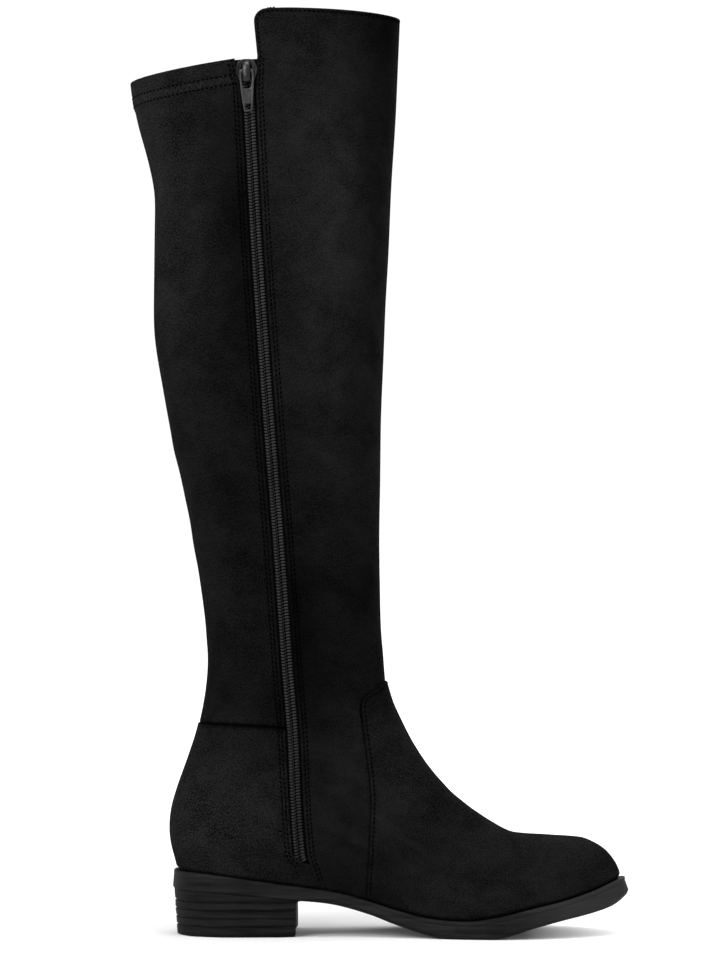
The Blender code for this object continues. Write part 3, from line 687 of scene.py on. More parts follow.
def square_to(vectors, axis):
    """The part of some vectors that is square to an axis, as unit vectors."""
    return unit(vectors - axis * (vectors * axis).sum(axis=-1, keepdims=True))


def thread(laid, pitch, length=1.5 * MM, radius=0.6 * MM, sunk=0.12 * MM, turn=0.0):
    """Places and 3x3 matrices of the stitches along a line laid on a face. Turned stitches lean
    one way and the other in a zigzag."""
    line, normals = laid
    arcs = lengths(line)
    middles = np.arange(pitch / 2, arcs[-1] - pitch / 3, pitch)
    start, end = (read_rows(middles + length * side, arcs, line) for side in (-0.5, 0.5))
    along = unit(end - start)
    out = square_to(read_rows(middles, arcs, normals), along)
    across = np.cross(out, along)
    lean = np.where(np.arange(len(middles)) % 2, turn, -turn)[:, None]
    stitch = along * np.cos(lean) + across * np.sin(lean)
    across = across * np.cos(lean) - along * np.sin(lean)
    turns = np.stack([stitch * length / 2, across * radius, out * radius * 0.8], axis=-1)
    return read_rows(middles, arcs, line) - out * sunk, turns


def bead(squareness=1.0, sides=6):
    """A small mesh of half size 1 with its long way along x: an ellipsoid, or boxier below 1."""
    edit = bmesh.new()
    bmesh.ops.create_uvsphere(edit, u_segments=sides, v_segments=6, radius=1.0)
    for vert in edit.verts:
        vert.co = [math.copysign(abs(part) ** squareness, part) for part in vert.co.zxy]
    return mesh_of("bead", edit)


def repeated(places, turns, **shape):
    """A bmesh with a bead at each place, turned and scaled by its 3x3 matrix."""
    mesh = bead(**shape)
    corners = np.zeros(len(mesh.vertices) * 3)
    mesh.vertices.foreach_get("co", corners)
    edit = bmesh.new()
    for _ in places:
        edit.from_mesh(mesh)
    bpy.data.meshes.remove(mesh)
    moved = np.einsum("nij,vj->nvi", turns, corners.reshape(-1, 3)) + places[:, None, :]
    for vert, point in zip(edit.verts, moved.reshape(-1, 3)):
        vert.co = point
    return edit


def scattered(name, rows, finish, slot="black_suede", nodes=(), **shape):
    """One piece from a bead repeated at all the places of some rows."""
    places, turns = (np.concatenate(column) for column in zip(*rows))
    piece(name, repeated(places, turns, **shape), finish, slot, nodes=nodes)


# ---------------------------------------------------------------- finishes


class Nodes:
    """Short ways to add and join the nodes of a material or a group."""

    def __init__(self, tree):
        self.tree = tree
        tree.nodes.clear()

    def add(self, kind, sockets=None, **settings):
        """A node with its settings, and a source or a value for each of the named sockets."""
        node = self.tree.nodes.new(kind)
        for key, value in settings.items():
            setattr(node, key, value)
        for key, source in (sockets or {}).items():
            self.join(source, node.inputs[key])
        return node

    def join(self, source, target):
        if isinstance(source, (int, float, tuple)):
            target.default_value = source
        else:
            self.tree.links.new(source, target)

    def scaled(self, value, factor, plus=0.0, clamp=False):
        sockets = {0: value, 1: factor, 2: plus}
        node = self.add("ShaderNodeMath", sockets, operation="MULTIPLY_ADD", use_clamp=clamp)
        return node.outputs[0]

    def noise(self, place, scale, detail, roughness=0.55, distortion=0.0):
        sockets = {"Vector": place, "Scale": scale, "Detail": detail, "Roughness": roughness}
        sockets["Distortion"] = distortion
        return self.add("ShaderNodeTexNoise", sockets).outputs["Fac"]

    def wave(self, place, scale, direction):
        sockets = {"Vector": place, "Scale": scale}
        return self.add("ShaderNodeTexWave", sockets, bands_direction=direction).outputs["Fac"]

    def stretched(self, place, scale):
        return self.add("ShaderNodeMapping", {"Vector": place, "Scale": scale}).outputs["Vector"]

    def ramp(self, value, low, high):
        sockets = {"Value": value, "From Min": low, "From Max": high}
        return self.add("ShaderNodeMapRange", sockets, clamp=True).outputs["Result"]

    def ahead(self, place, low, high):
        """A ramp along x."""
        return self.ramp(self.add("ShaderNodeSeparateXYZ", {0: place}).outputs["X"], low, high)

    def mix(self, share, first, second):
        sockets = {"Factor": share, "A": first, "B": second}
        node = self.add("ShaderNodeMix", sockets, data_type="RGBA", clamp_factor=False)
        return node.outputs["Result"]


def grey(value, tint=(1.0, 1.0, 1.0)):
    return (value * tint[0], value * tint[1], value * tint[2], 1.0)


def brushed_nap(nodes, given):
    """Suede: short fibres, fine grain and soft clouds where the nap lies another way, darkened by
    the painted seam shade and by the nap tone, which holds painted shade and light.
    """
    place = given["Place"]
    grain = nodes.noise(place, 1150.0, 2.0, 0.9)
    fibre = nodes.noise(nodes.stretched(place, (1700.0, 1000.0, 1.0)), 1.0, 2.0, 0.6, 0.6)
    cloud = nodes.noise(place, 34.0, 3.0, 0.5, 0.5)
    mottle = nodes.noise(place, 130.0, 3.0, 0.6, 0.3)
    patch = nodes.ramp(nodes.scaled(mottle, 0.55, cloud), 0.5, 1.05)
    tooth = nodes.ramp(nodes.scaled(fibre, 0.4, nodes.scaled(grain, 0.6)), 0.4, 0.61)
    tooth = nodes.scaled(nodes.scaled(tooth, 1.0, -0.5), given["Grain"], 0.5, clamp=True)
    shade = nodes.scaled(tooth, 0.8, nodes.scaled(patch, 0.42, -0.12), clamp=True)
    colour = nodes.mix(shade, given["Dark"], given["Light"])
    # The colour follows the painted seam shade and the nap tone with its painted shade and light
    kept = nodes.scaled(nodes.scaled(given["Seam"], -0.25, 1.0), given["Nap and shade"])
    rough = nodes.scaled(patch, -0.08, 0.97)
    return {"Colour": nodes.mix(kept, grey(0.0), colour), "Height": tooth, "Roughness": rough}


def woven_tape(nodes, given):
    """A narrow woven tape: threads over and under at a right angle."""
    place = given["Place"]
    height = nodes.scaled(nodes.wave(place, 520.0, "X"), nodes.wave(place, 420.0, "Z"))
    fuzz = nodes.scaled(nodes.noise(place, 900.0, 2.0), 0.3)
    shade = nodes.scaled(height, 0.7, fuzz, clamp=True)
    return {"Colour": nodes.mix(shade, given["Dark"], given["Light"]), "Height": height}


def handled(nodes, given):
    """Small marks of use: fine scratches, smudges and dust, for hard surfaces."""
    place, brushed = given["Place"], given["Brushed"]
    smudge = nodes.noise(place, 90.0, 4.0, 0.6)
    band = nodes.ramp(nodes.noise(brushed, 330.0, 2.0, 0.5), 0.38, 0.62)
    scratch = nodes.ramp(nodes.noise(brushed, 1100.0, 4.0, 0.7), 0.3, 0.72)
    speck = nodes.ramp(nodes.noise(place, 1500.0, 2.0), 0.62, 0.8)
    shade = nodes.scaled(band, 0.45, nodes.scaled(scratch, 0.5))
    shade = nodes.scaled(smudge, 0.5, nodes.scaled(shade, 1.0, -0.25))
    shade = nodes.scaled(speck, 0.3, shade, clamp=True)
    rough = nodes.scaled(nodes.scaled(smudge, 0.5, -0.25), 0.4, given["Roughness"])
    colour = nodes.mix(shade, given["Dark"], given["Light"])
    return {"Colour": colour, "Height": scratch, "Roughness": rough}


SOCKET_KINDS = {1: "NodeSocketFloat", 3: "NodeSocketVector", 4: "NodeSocketColor"}
# Each group's name, and the inputs that it has beside Place, Dark and Light
GROUPS = {
    brushed_nap: ("brushed nap", {"Seam": 0.0, "Nap and shade": 1.0, "Grain": 1.0}),
    woven_tape: ("woven tape", {}),
    handled: ("handled", {"Brushed": (0.0, 0.0, 0.0), "Roughness": 0.5}),
}


def textured(nodes, fill, sockets):
    """A node of one of the groups, with its sockets joined. Each group is built once."""
    name, more = GROUPS[fill]
    tree = bpy.data.node_groups.get(name)
    if tree is None:
        tree = bpy.data.node_groups.new(name, "ShaderNodeTree")
        inner = Nodes(tree)
        given = {"Place": (0.0, 0.0, 0.0), "Dark": grey(0.005), "Light": grey(0.02), **more}
        for label, default in given.items():
            kind = SOCKET_KINDS[np.size(default)]
            socket = tree.interface.new_socket(label, in_out="INPUT", socket_type=kind)
            socket.default_value = default
        found = fill(inner, inner.add("NodeGroupInput").outputs)
        for label in found:
            kind = SOCKET_KINDS[4 if label == "Colour" else 1]
            tree.interface.new_socket(label, in_out="OUTPUT", socket_type=kind)
        inner.add("NodeGroupOutput", found)
    return nodes.add("ShaderNodeGroup", sockets, node_tree=tree).outputs


def new_material(name):
    material = bpy.data.materials.new(name)
    material.use_nodes = True
    return material, Nodes(material.node_tree)


def surfaced(nodes, sockets, height=None, depth=0.0):
    """Ends a material with its shader, whose sockets are given, and with its relief."""
    if height is not None:
        bump_sockets = {"Strength": 1.0, "Distance": depth, "Height": height}
        sockets["Normal"] = nodes.add("ShaderNodeBump", bump_sockets).outputs[0]
    shader = nodes.add("ShaderNodeBsdfPrincipled", sockets)
    nodes.add("ShaderNodeOutputMaterial", {"Surface": shader.outputs[0]})


def suede(name, base, contrast=1.0, grain=1.0, warmth=(1.0, 0.985, 0.98)):
    """Dyed suede of a given darkness, read along the panel's own cloth map."""
    material, nodes = new_material(name)
    sockets = {
        "Place": nodes.add("ShaderNodeUVMap", uv_map="cloth").outputs["UV"],
        "Dark": grey(base * (1 - contrast), warmth),
        "Light": grey(base * (1 + contrast), warmth),
        "Grain": grain,
    }
    # The panel's painted seam shade and its nap tone, which holds painted shade and light
    for socket, layer in (("Seam", "seam"), ("Nap and shade", "nap")):
        sockets[socket] = nodes.add("ShaderNodeAttribute", attribute_name=layer).outputs["Fac"]
    nap = textured(nodes, brushed_nap, sockets)
    look = {"Base Color": nap["Colour"], "Roughness": nap["Roughness"], "Specular IOR Level": 0.015}
    surfaced(nodes, look, nap["Height"], 0.2 * MM)
    return material


def tape_cloth(name, dark, light):
    material, nodes = new_material(name)
    place = nodes.add("ShaderNodeTexCoord").outputs["Object"]
    weave = textured(nodes, woven_tape, {"Place": place, "Dark": grey(dark), "Light": grey(light)})
    look = {"Base Color": weave["Colour"], "Roughness": 0.85, "Specular IOR Level": 0.05}
    surfaced(nodes, look, weave["Height"], 0.1 * MM)
    return material


# Where the painted light on the sole's toe starts and where it is full, along x, and how much of
# it shows
TOE_LIGHT_ENDS = (70 * MM, 110 * MM)
TOE_LIGHT_SHARE = 0.6


def hard(
    name, dark, light, roughness, brush=(1, 1, 0.06), toe=0.0, depth=0.03, metal=0.0, shine=0.1
):
    """Rubber, plastic or metal with the marks of handling, brushed along the short axis of brush,
    and painted lighter towards the toe, as light falling on the sole's front. The marks' depth is
    in millimetres."""
    material, nodes = new_material(name)
    place = nodes.add("ShaderNodeTexCoord").outputs["Object"]
    sockets = {"Place": place, "Brushed": nodes.stretched(place, brush), "Roughness": roughness}
    wear = textured(nodes, handled, {**sockets, "Dark": grey(dark), "Light": grey(light)})
    colour = wear["Colour"]
    if toe:
        # Painted light: lighter towards the toe, where light falls on the sole's front
        sole_toe_light = nodes.scaled(nodes.ahead(place, *TOE_LIGHT_ENDS), TOE_LIGHT_SHARE)
        colour = nodes.mix(sole_toe_light, colour, grey(toe))
    look = {"Base Color": colour, "Roughness": wear["Roughness"], "Metallic": metal}
    surfaced(nodes, {**look, "Specular IOR Level": shine}, wear["Height"], depth * MM)
    return material


# ---------------------------------------------------------------- the upper's parts


# Heights that one step of the level takes up over the foot, the leg and the collar
LEVEL_HEIGHTS = (117 * MM, 355 * MM, 29.5 * MM)


def levels_for(start, end):
    """Levels for a panel's mesh, close together at its ends and at the slot's lower end."""

    def scale(level):
        return LEVEL_HEIGHTS[0 if level <= 1 else 1 if level <= 2 else 2]

    found = [np.linspace(0.0, 1.0, 96), np.linspace(1.0, 2.0, 161), np.linspace(2.0, 3.0, 14)]
    found.append(np.linspace(SLOT_END - 0.01, SLOT_END + 0.07, 24))
    found += [start + NEAR_EDGE / scale(start + 1e-6), end - NEAR_EDGE / scale(end)]
    levels = np.unique(np.concatenate(found))
    kept = [start]
    for level in levels[(levels > start - 1e-6) & (levels < end + 1e-6)]:
        if (level - kept[-1]) * scale(level) > 0.17 * MM:
            kept.append(level)
    kept[-1] = end
    return np.array(kept)


def front_columns(level):
    """The front panel, from the zip round the shin to the outer seam."""
    return between(front_edge(level), outer_seam(level) - panel_corner(level), 78)


def back_columns(level):
    """The back panel and the counter, from the outer seam round the heel to the zip."""
    closed = 2 * SLOT_HALF - max(float(slot_width(level)), 0.15 * MM)
    end = crossing(level, zip_line) - slot_edge(level, 0) + closed
    return between(outer_seam(level) + 0.15 * MM - ring(level)[1][-1], end, 70)


def vamp_columns(level):
    """The vamp, from its rear edge on the inner side round the toe to that on the outer side."""
    return between(crossing(level, vamp_line), crossing(level, vamp_line, outer=True), 74)


# Soft ridges and troughs of the cloth: x, z, turn in degrees, half length, half width and height
# in millimetres, and the side they lie on (-1 inner, 1 outer)
CREASES = (
    (9, 290, -33, 20, 7, 0.9, -1), (20, 236, -35, 26, 8, 1, -1), (33, 262, -28, 20, 7, -0.9, -1),
    (14, 330, -20, 26, 8, -0.7, -1), (26, 372, -14, 30, 9, 0.7, -1),
    (15, 302, -14, 17, 3.4, 0.55, -1), (9.5, 292, -16, 14, 3, -0.5, -1),
    (22, 270, -38, 18, 3.4, 0.5, -1), (28, 275, -38, 16, 3, -0.45, -1),
    (8, 430, -35, 24, 8, 0.7, -1), (30, 180, -42, 16, 6, 0.7, -1), (42, 205, -30, 20, 6, -0.7, -1),
    (96, 196, 58, 16, 6.5, -0.8, -1), (104, 176, 62, 15, 5.5, 0.7, -1),
    (88, 164, 66, 14, 5, -0.6, -1), (100, 330, 8, 60, 11, -0.7, -1), (76, 420, 2, 60, 12, 0.6, -1),
    (116, 240, 5, 40, 8, 0.5, -1), (12, 300, -30, 24, 8, 0.9, 1), (26, 246, -36, 24, 8, -0.9, 1),
    (16, 390, -16, 30, 9, 0.8, 1), (98, 190, 60, 18, 6, -0.9, 1), (106, 172, 64, 16, 5.5, 0.8, 1),
    (96, 350, 6, 60, 12, -0.7, 1), (152, 74, -48, 16, 5, -0.45, -1),
    (166, 62, -54, 16, 5, 0.4, -1), (154, 72, -46, 16, 5, -0.45, 1), (170, 60, -54, 16, 5, 0.4, 1),
)


def waves(points):
    """How far the cloth swells and sinks at points of the upper, from its creases and its slack."""
    x, y, z = (points[..., axis] / MM for axis in range(3))
    lift = np.zeros(x.shape)
    for middle, height, turn, length, width, depth, side in CREASES:
        turn = math.radians(turn)
        across = (x - middle) * math.cos(turn) + (z - height) * math.sin(turn)
        along = (z - height) * math.cos(turn) - (x - middle) * math.sin(turn)
        shown = smoothstep(0.5 + side * y / 16)
        lift += depth * bump(across, width) * bump(along, length) * shown
    slack = np.sin(z / 23 + x / 31) * np.cos(x / 17 - y / 21)
    slack += 0.6 * np.sin(z / 11 - y / 9 + x / 14)
    return (lift + 0.16 * slack * smoothstep((z - 30) / 40)) * MM


# How light the suede is painted, by height (mm), partly the nap's own tone and partly painted shade
# and light: at the back edge, behind the zip, in front of it, in the middle of the front panel and
# at the shin
NAP_AND_SHADE = (
    (20, 1.1, 0.7, 0.46, 0.7, 0.9), (40, 1.18, 0.76, 0.6, 0.84, 1), (60, 1.4, 1.06, 0.8, 1.02, 1.1),
    (85, 1.38, 0.98, 0.86, 1.1, 1.1), (112, 0.92, 0.66, 0.66, 0.84, 0.88),
    (124, 0.8, 0.42, 0.42, 0.72, 0.66), (140, 0.62, 0.46, 0.24, 0.48, 0.46),
    (165, 0.58, 0.46, 0.18, 0.38, 0.42), (200, 0.74, 0.46, 0.2, 0.38, 0.42),
    (232, 0.8, 0.48, 0.4, 0.62, 0.58), (270, 0.7, 0.46, 0.5, 0.7, 0.66),
    (320, 0.94, 0.46, 0.64, 0.9, 0.66), (360, 1.02, 0.36, 0.7, 1.02, 0.6),
    (410, 1.3, 0.28, 0.8, 1.2, 0.62), (470, 1.36, 0.46, 0.82, 1.06, 0.5),
    (505, 1.18, 0.86, 0.84, 0.92, 0.3), (537, 1.1, 0.8, 0.9, 0.76, 0.22),
)
NAP_AND_SHADE_PLACES = (0.02, 0.92, 1.06, 1.56, 1.94)
# The same over the foot, also partly painted shade and light: above and by the sole, and where it
# starts, fades in and turns lighter
FOOT_NAP_AND_SHADE = (0.75, 0.98)
FOOT_START = 128.0 * MM
FOOT_FADE = 30.0 * MM
FOOT_LOW = 47.0 * MM
FOOT_LOW_FADE = 18.0 * MM


def nap_tone(points):
    """How light the suede is painted at points of the upper: partly the nap, brushed another way
    from place to place, and partly painted shade and light where light falls; lighter over the
    foot."""
    x, z = points[..., 0], points[..., 2]
    heights, *tones = np.array(NAP_AND_SHADE).T
    stops = [np.interp(z, heights * MM, tone) for tone in tones]
    rear, middle, front = back_line(z), zip_line(z), front_line(z)
    place = np.where(x < middle, (x - rear) / (middle - rear), 1 + (x - middle) / (front - middle))
    tone = stops[0]
    for start, end, low, high in zip(NAP_AND_SHADE_PLACES, NAP_AND_SHADE_PLACES[1:], stops, stops[1:]):
        share = smoothstep((place - start) / (end - start))
        tone = np.where(place > start, lerp(low, high, share), tone)
    foot = smoothstep((x - FOOT_START) / FOOT_FADE) * smoothstep((VAMP_TOP - z) / FOOT_FADE)
    low = smoothstep((FOOT_LOW - z) / FOOT_LOW_FADE)
    return lerp(tone, lerp(*FOOT_NAP_AND_SHADE, low), foot)


@lru_cache(maxsize=None)
def front_panel():
    made = Panel(levels_for(0.0, 3.0), front_columns, FRONT_LIFT)
    border = made.near("first", "top", "last")
    made.roll(border)
    made.stitched(border, FRONT_ROWS[:1])
    made.stitched(made.near("first", "last", levels=(0.0, 2.02)), FRONT_ROWS[1:], puff=0.0)
    made.turned_under()
    return made


@lru_cache(maxsize=None)
def back_panel():
    made = Panel(levels_for(COUNTER_TOP, 2.0), back_columns)
    made.roll(made.near("first"), drop=0.3 * MM)
    zip_side, top = made.near("last"), made.near("top")
    made.roll(zip_side)
    made.stitched(zip_side, REAR_ROWS)
    made.roll(top)
    made.lift += HEM_LIFT * smoothstep((HEM_ROWS[1] + HEM_MARGIN - top) / HEM_STEP)
    made.stitched(top, HEM_ROWS, puff=0.0)
    made.pucker("bottom")
    return made


@lru_cache(maxsize=None)
def counter():
    made = Panel(levels_for(0.0, COUNTER_TOP), back_columns, COUNTER_LIFT)
    made.roll(made.near("first"), drop=0.3 * MM)
    made.pucker("top")
    zip_side = made.near("last", levels=(SLOT_END - 0.02, 1.0))
    made.roll(zip_side)
    made.stitched(zip_side, REAR_ROWS)
    made.turned_under(depth=1.3 * MM)
    return made


# The vamp's top edge: how far it slopes down near its rear edges, over what length, and how round
# its corners are
VAMP_SLOPE = 4.6 * MM
VAMP_SLOPE_LENGTH = 10.0 * MM
VAMP_CORNER = 5.0 * MM
VAMP_HEIGHT = 121.0 * MM


@lru_cache(maxsize=None)
def vamp():
    made = Panel(levels_for(0.0, 1.0), vamp_columns, VAMP_LIFT)
    x, places = made.base[-1, :, 0], made.places[-1]
    ahead = np.minimum(x - x[0], x - x[-1])
    inwards = np.minimum(places - places[0], places[-1] - places)
    slope = VAMP_SLOPE * np.clip(1 - ahead / VAMP_SLOPE_LENGTH, 0.0, 1.0)
    made.trimmed(1 - (slope + fillet(inwards, VAMP_CORNER)) / VAMP_HEIGHT)
    border = made.near("first", "top", "last")
    made.roll(border, radius=0.7 * MM, drop=0.6 * MM)
    # Painted shade along the vamp's edge, where it steps down onto the panel beneath
    made.paint_shade(border, 3.4, 0.7 * MM)
    made.stitched(border, (VAMP_ROW,))
    made.turned_under(depth=1.9 * MM, reach=2.8 * MM)
    return made


# ---------------------------------------------------------------- the zip


@lru_cache(maxsize=None)
def zip_track():
    """Levels along the zip, and the arc lengths of its middle line there."""
    levels = np.linspace(SLOT_END + 0.0005, ZIP_END, 900)
    return levels, lengths([on_zip(level) for level in levels])


def zip_frame(at):
    """Point, across, up and out of the zip's middle line at arc lengths from its lower end."""
    levels, arcs = zip_track()
    found = []
    for level in map(float, np.interp(at, arcs, levels)):
        sides = crossing(level, zip_line) + np.array([0.0, -2.0, 2.0]) * MM
        point, left, right = at_arc(level, sides)
        up = unit(on_zip(level + 0.004) - point)
        across = square_to(right - left, up)
        found.append((point, across, up, np.cross(across, up)))
    return [np.array(column) for column in zip(*found)]


# Of the rear teeth, the front teeth and their heads: side, middle, half length, place in the
# pitch, slant, depth and half thickness, with lengths in millimetres
REAR_TEETH = (-1, 2.05, 1.2, 0.0, 0.14, 1.35, 0.8)
FRONT_TEETH = (1, 1.75, 1.5, 0.5, 0.14, 1.35, 0.8)
TOOTH_HEADS = (-1, 0.45, 0.42, 0.25, 0.3, 1.7, 0.6)


def teeth(pitch, side, middle, half, offset, slant, depth, thick):
    """Places and matrices of one column of teeth."""
    arcs = np.arange(0.4 * MM + offset * pitch, zip_track()[1][-1] - 7.0 * MM, pitch)
    point, across, up, out = zip_frame(arcs)
    lean = unit(across + up * slant * side)
    along = np.cross(out, lean)
    turns = np.stack([lean * half * MM, along * pitch * 0.36, out * thick * MM], axis=-1)
    return point + across * (side * middle * MM) - out * depth * MM, turns


def rounded(half, radius, steps=5):
    """A mirrored outline in millimetres with its corners turned into short arcs."""
    corners = np.array([*half, *((-x, y) for x, y in reversed(half))], float)
    found = []
    for before, corner, after in zip(np.roll(corners, 1, 0), corners, np.roll(corners, -1, 0)):
        start, end = (
            corner + (other - corner) * min(radius / np.linalg.norm(other - corner), 0.48)
            for other in (before, after)
        )
        for t in np.linspace(0.0, 1.0, steps):
            found.append((1 - t) ** 2 * start + 2 * t * (1 - t) * corner + t * t * end)
    return found


def plate(edit, low, high, rounding, *outlines):
    """Adds a flat plate between two heights, with soft edges, from its outline and its holes, each
    given as its half at +x, from the top down, and its corners' radius. All in millimetres."""
    old = set(edit.verts)
    rims = []
    for half, radius in outlines:
        corners = [edit.verts.new((x * MM, y * MM, high * MM)) for x, y in rounded(half, radius)]
        rims += [edit.edges.new(pair) for pair in zip(corners, corners[1:] + corners[:1])]
    made = bmesh.ops.triangle_fill(edit, use_beauty=True, use_dissolve=True, edges=rims)["geom"]
    faces = [part for part in made if isinstance(part, bmesh.types.BMFace)]
    for face in faces:
        face.normal_update()
        if face.normal.z < 0:
            face.normal_flip()
    bmesh.ops.solidify(edit, geom=faces, thickness=(high - low) * MM)
    fresh = [vert for vert in edit.verts if vert not in old]
    top = max(vert.co.z for vert in fresh)
    bmesh.ops.translate(edit, vec=(0.0, 0.0, high * MM - top), verts=fresh)
    faces = [face for face in edit.faces if face.verts[0] not in old]
    bmesh.ops.recalc_face_normals(edit, faces=faces)
    edges = [edge for edge in edit.edges if edge.verts[0] not in old and len(edge.link_faces) == 2]
    sharp = [edge for edge in edges if edge.calc_face_angle() > 1.0]
    bmesh.ops.bevel(
        edit, geom=sharp, offset=rounding * MM, offset_type="OFFSET", segments=3,
        profile=0.5, affect="EDGES", clamp_overlap=True, material=-1,
    )


def tube(edit, path, sides=14, steps=32):
    """Adds a bar through points, each with its half width and half thickness, in millimetres."""
    share = np.linspace(0.0, 1.0, len(path))
    rows = read_rows(np.linspace(0.0, 1.0, steps + 1), share, np.array(path))
    line, half, thick = rows[:, :2], rows[:, 2], rows[:, 3]
    for _ in range(3):
        line[1:-1] = (line[:-2] + 2 * line[1:-1] + line[2:]) / 4
    along = unit(np.gradient(line, axis=0))
    out = np.stack([along[:, 1], -along[:, 0]], axis=-1)

    def place(u, v):
        row = np.rint(v * steps).astype(int)
        turn = u * 2 * math.pi
        wide, deep = np.cos(turn) * half[row], np.sin(turn) * thick[row]
        return np.column_stack([wide, line[row] + out[row] * deep[:, None]]) * MM

    made = sheet(edit, sides, steps, place)
    bmesh.ops.remove_doubles(edit, verts=made, dist=1e-6)
    bmesh.ops.holes_fill(edit, edges=edit.edges, sides=sides + 1)


# Halves of the outlines at +x, from the top down, and the radius of their corners: across and
# along the zip from the pull's axis, in millimetres
SLIDER_SIDE = ((2.6, 6.5), (4.7, 5.4), (6.1, 1.8), (6.1, -0.6), (4.7, -4.4), (4.2, -6.2)), 1.6
SLIDER_HOLE = ((2.6, 3.9), (3.3, 1.0), (3.3, -1.0), (2.8, -5.0)), 1.2
SLIDER_RIM = ((4.0, 4.2), (5.0, 1.3), (5.0, -0.6), (3.7, -4.2), (3.3, -5.0)), 1.2
SLIDER_BACK = ((4.6, 4.6), (5.0, 3.0), (4.2, -5.4)), 1.0
SLIDER_POST = ((1.3, 4.2), (0.7, -1.4)), 0.3
PULL_SIDE = ((3.3, 0.6), (4.1, 0.1), (4.1, -6.0), (3.6, -11.8), (2.95, -18.7), (2.25, -23.8)), 0.9
PULL_WINDOW = ((2.95, -0.7), (2.95, -6.6), (2.1, -10.6)), 1.5
PULL_RECESS = ((2.55, -11.9), (2.15, -18.5)), 0.4
PULL_FOOT_WINDOW = ((1.85, -19.2), (1.6, -22.8)), 0.4
# Points of the bridge, along the zip and out of it, with its half width and half thickness
BRIDGE = (
    (4.9, 1.2, 2.1, 0.7), (4.6, 2.9, 2.3, 0.9), (2.8, 4.3, 2.35, 1.0), (-1.0, 5.0, 2.3, 1.0),
    (-4.4, 5.4, 2.1, 1.0), (-6.4, 4.2, 1.8, 0.8), (-6.8, 1.2, 1.6, 0.6),
)


def slider_frame(rise=0.0):
    """The slider's own frame: across, up along the zip, and out, standing at the pull's axis."""
    hinge = frame["joints"][0]
    across = -Vector(hinge["axis"]).normalized()
    up = Vector(on_zip(PIVOT_LEVEL) - on_zip(PIVOT_LEVEL - 0.02))
    up = (up - across * up.dot(across)).normalized()
    out = across.cross(up)
    place = Vector(hinge["pos_m"]) + out * (rise - PIVOT_OUT) - across * SLIDER_BEHIND
    return Matrix.Translation(place) @ Matrix((across, up, out)).transposed().to_4x4()


# ---------------------------------------------------------------- what a user would change


class BootColours(bpy.types.PropertyGroup):
    """Darkness of the boot's materials, as linear grey."""

    leg: bpy.props.FloatProperty(
        name="Back of the leg", description="Suede of the back panel", default=0.0073, min=0, max=1
    )
    front: bpy.props.FloatProperty(
        name="Front", description="Suede of the front panel", default=0.0076, min=0, max=1
    )
    foot: bpy.props.FloatProperty(
        name="Foot", description="Suede of the vamp and the counter", default=0.0077, min=0, max=1
    )
    rubber: bpy.props.FloatProperty(
        name="Sole", description="Rubber of the sole", default=0.0058, min=0, max=1
    )
    metal: bpy.props.FloatProperty(
        name="Metal", description="Gunmetal of the slider and its pull", default=0.06, min=0, max=1
    )


class BootSizes(bpy.types.PropertyGroup):
    """Sizes of the cloth, the stitches and the zip's teeth."""

    cloth: bpy.props.FloatProperty(
        name="Cloth", description="Thickness of the suede panels",
        default=0.0011, min=0.0003, unit="LENGTH",
    )
    stitch: bpy.props.FloatProperty(
        name="Stitch spacing", description="From one stitch to the next",
        default=0.0027, min=0.001, unit="LENGTH",
    )
    tooth: bpy.props.FloatProperty(
        name="Tooth spacing", description="From one zip tooth to the next",
        default=0.00178, min=0.001, unit="LENGTH",
    )


class BootStage(bpy.types.PropertyGroup):
    """The camera and the light round the boot."""

    distance: bpy.props.FloatProperty(
        name="Camera distance", description="From the boot's middle line",
        default=2.7, unit="LENGTH",
    )
    height: bpy.props.FloatProperty(
        name="Camera height", description="Above the floor", default=0.2649, unit="LENGTH"
    )
    across: bpy.props.FloatProperty(
        name="Camera place", description="From the back of the sole", default=0.1094, unit="LENGTH"
    )
    view: bpy.props.FloatProperty(
        name="View height", description="Height seen at the boot", default=0.5616, unit="LENGTH"
    )
    light: bpy.props.FloatProperty(
        name="Light", description="Strength of the soft light all round", default=0.72, min=0
    )


# ---------------------------------------------------------------- operators


class BOOT_OT_panels(bpy.types.Operator):
    """Builds the front panel, the back panel, the counter and the vamp"""

    bl_idname = "boot.panels"
    bl_label = "Panels"

    def execute(self, context):
        colours = context.scene.boot_colours
        cloth = context.scene.boot_sizes.cloth
        front = suede("front suede", colours.front)
        leg = suede("leg suede", colours.leg, grain=1.15)
        foot = suede("foot suede", colours.foot, grain=1.5)
        front_panel().build("front_panel", front, cloth, nodes=("upper",))
        back_panel().build("back_panel", leg, cloth)
        counter().build("counter", foot, cloth)
        vamp().build("vamp", foot, cloth)
        return {"FINISHED"}


class BOOT_OT_lining(bpy.types.Operator):
    """Builds the lining inside the front and the back"""

    bl_idname = "boot.lining"
    bl_label = "Lining"

    def execute(self, context):
        def front(level):
            return np.linspace(front_edge(level) + 1.2 * MM, outer_seam(level) + 0.3 * MM, 60)

        def back(level):
            start = outer_seam(level) + 0.6 * MM - ring(level)[1][-1]
            end = crossing(level, zip_line) - slot_edge(level, 0) - 1.2 * MM
            return np.linspace(start, end, 60)

        cloth = suede("lining cloth", 0.010, contrast=0.5)
        under = -context.scene.boot_sizes.cloth - LINING_GAP
        foot, leg = np.linspace(0.03, 1.0, 35), np.linspace(1.0, 2.0, 81)[1:]
        levels = np.concatenate([foot, leg, np.linspace(2.0, 2.95, 9)[1:]])
        Panel(levels, front, FRONT_LIFT + under).build("front_lining", cloth, LINING)
        levels = np.concatenate([foot, np.linspace(1.0, 1.996, 81)[1:]])
        Panel(levels, back, under).build("back_lining", cloth, LINING)
        return {"FINISHED"}


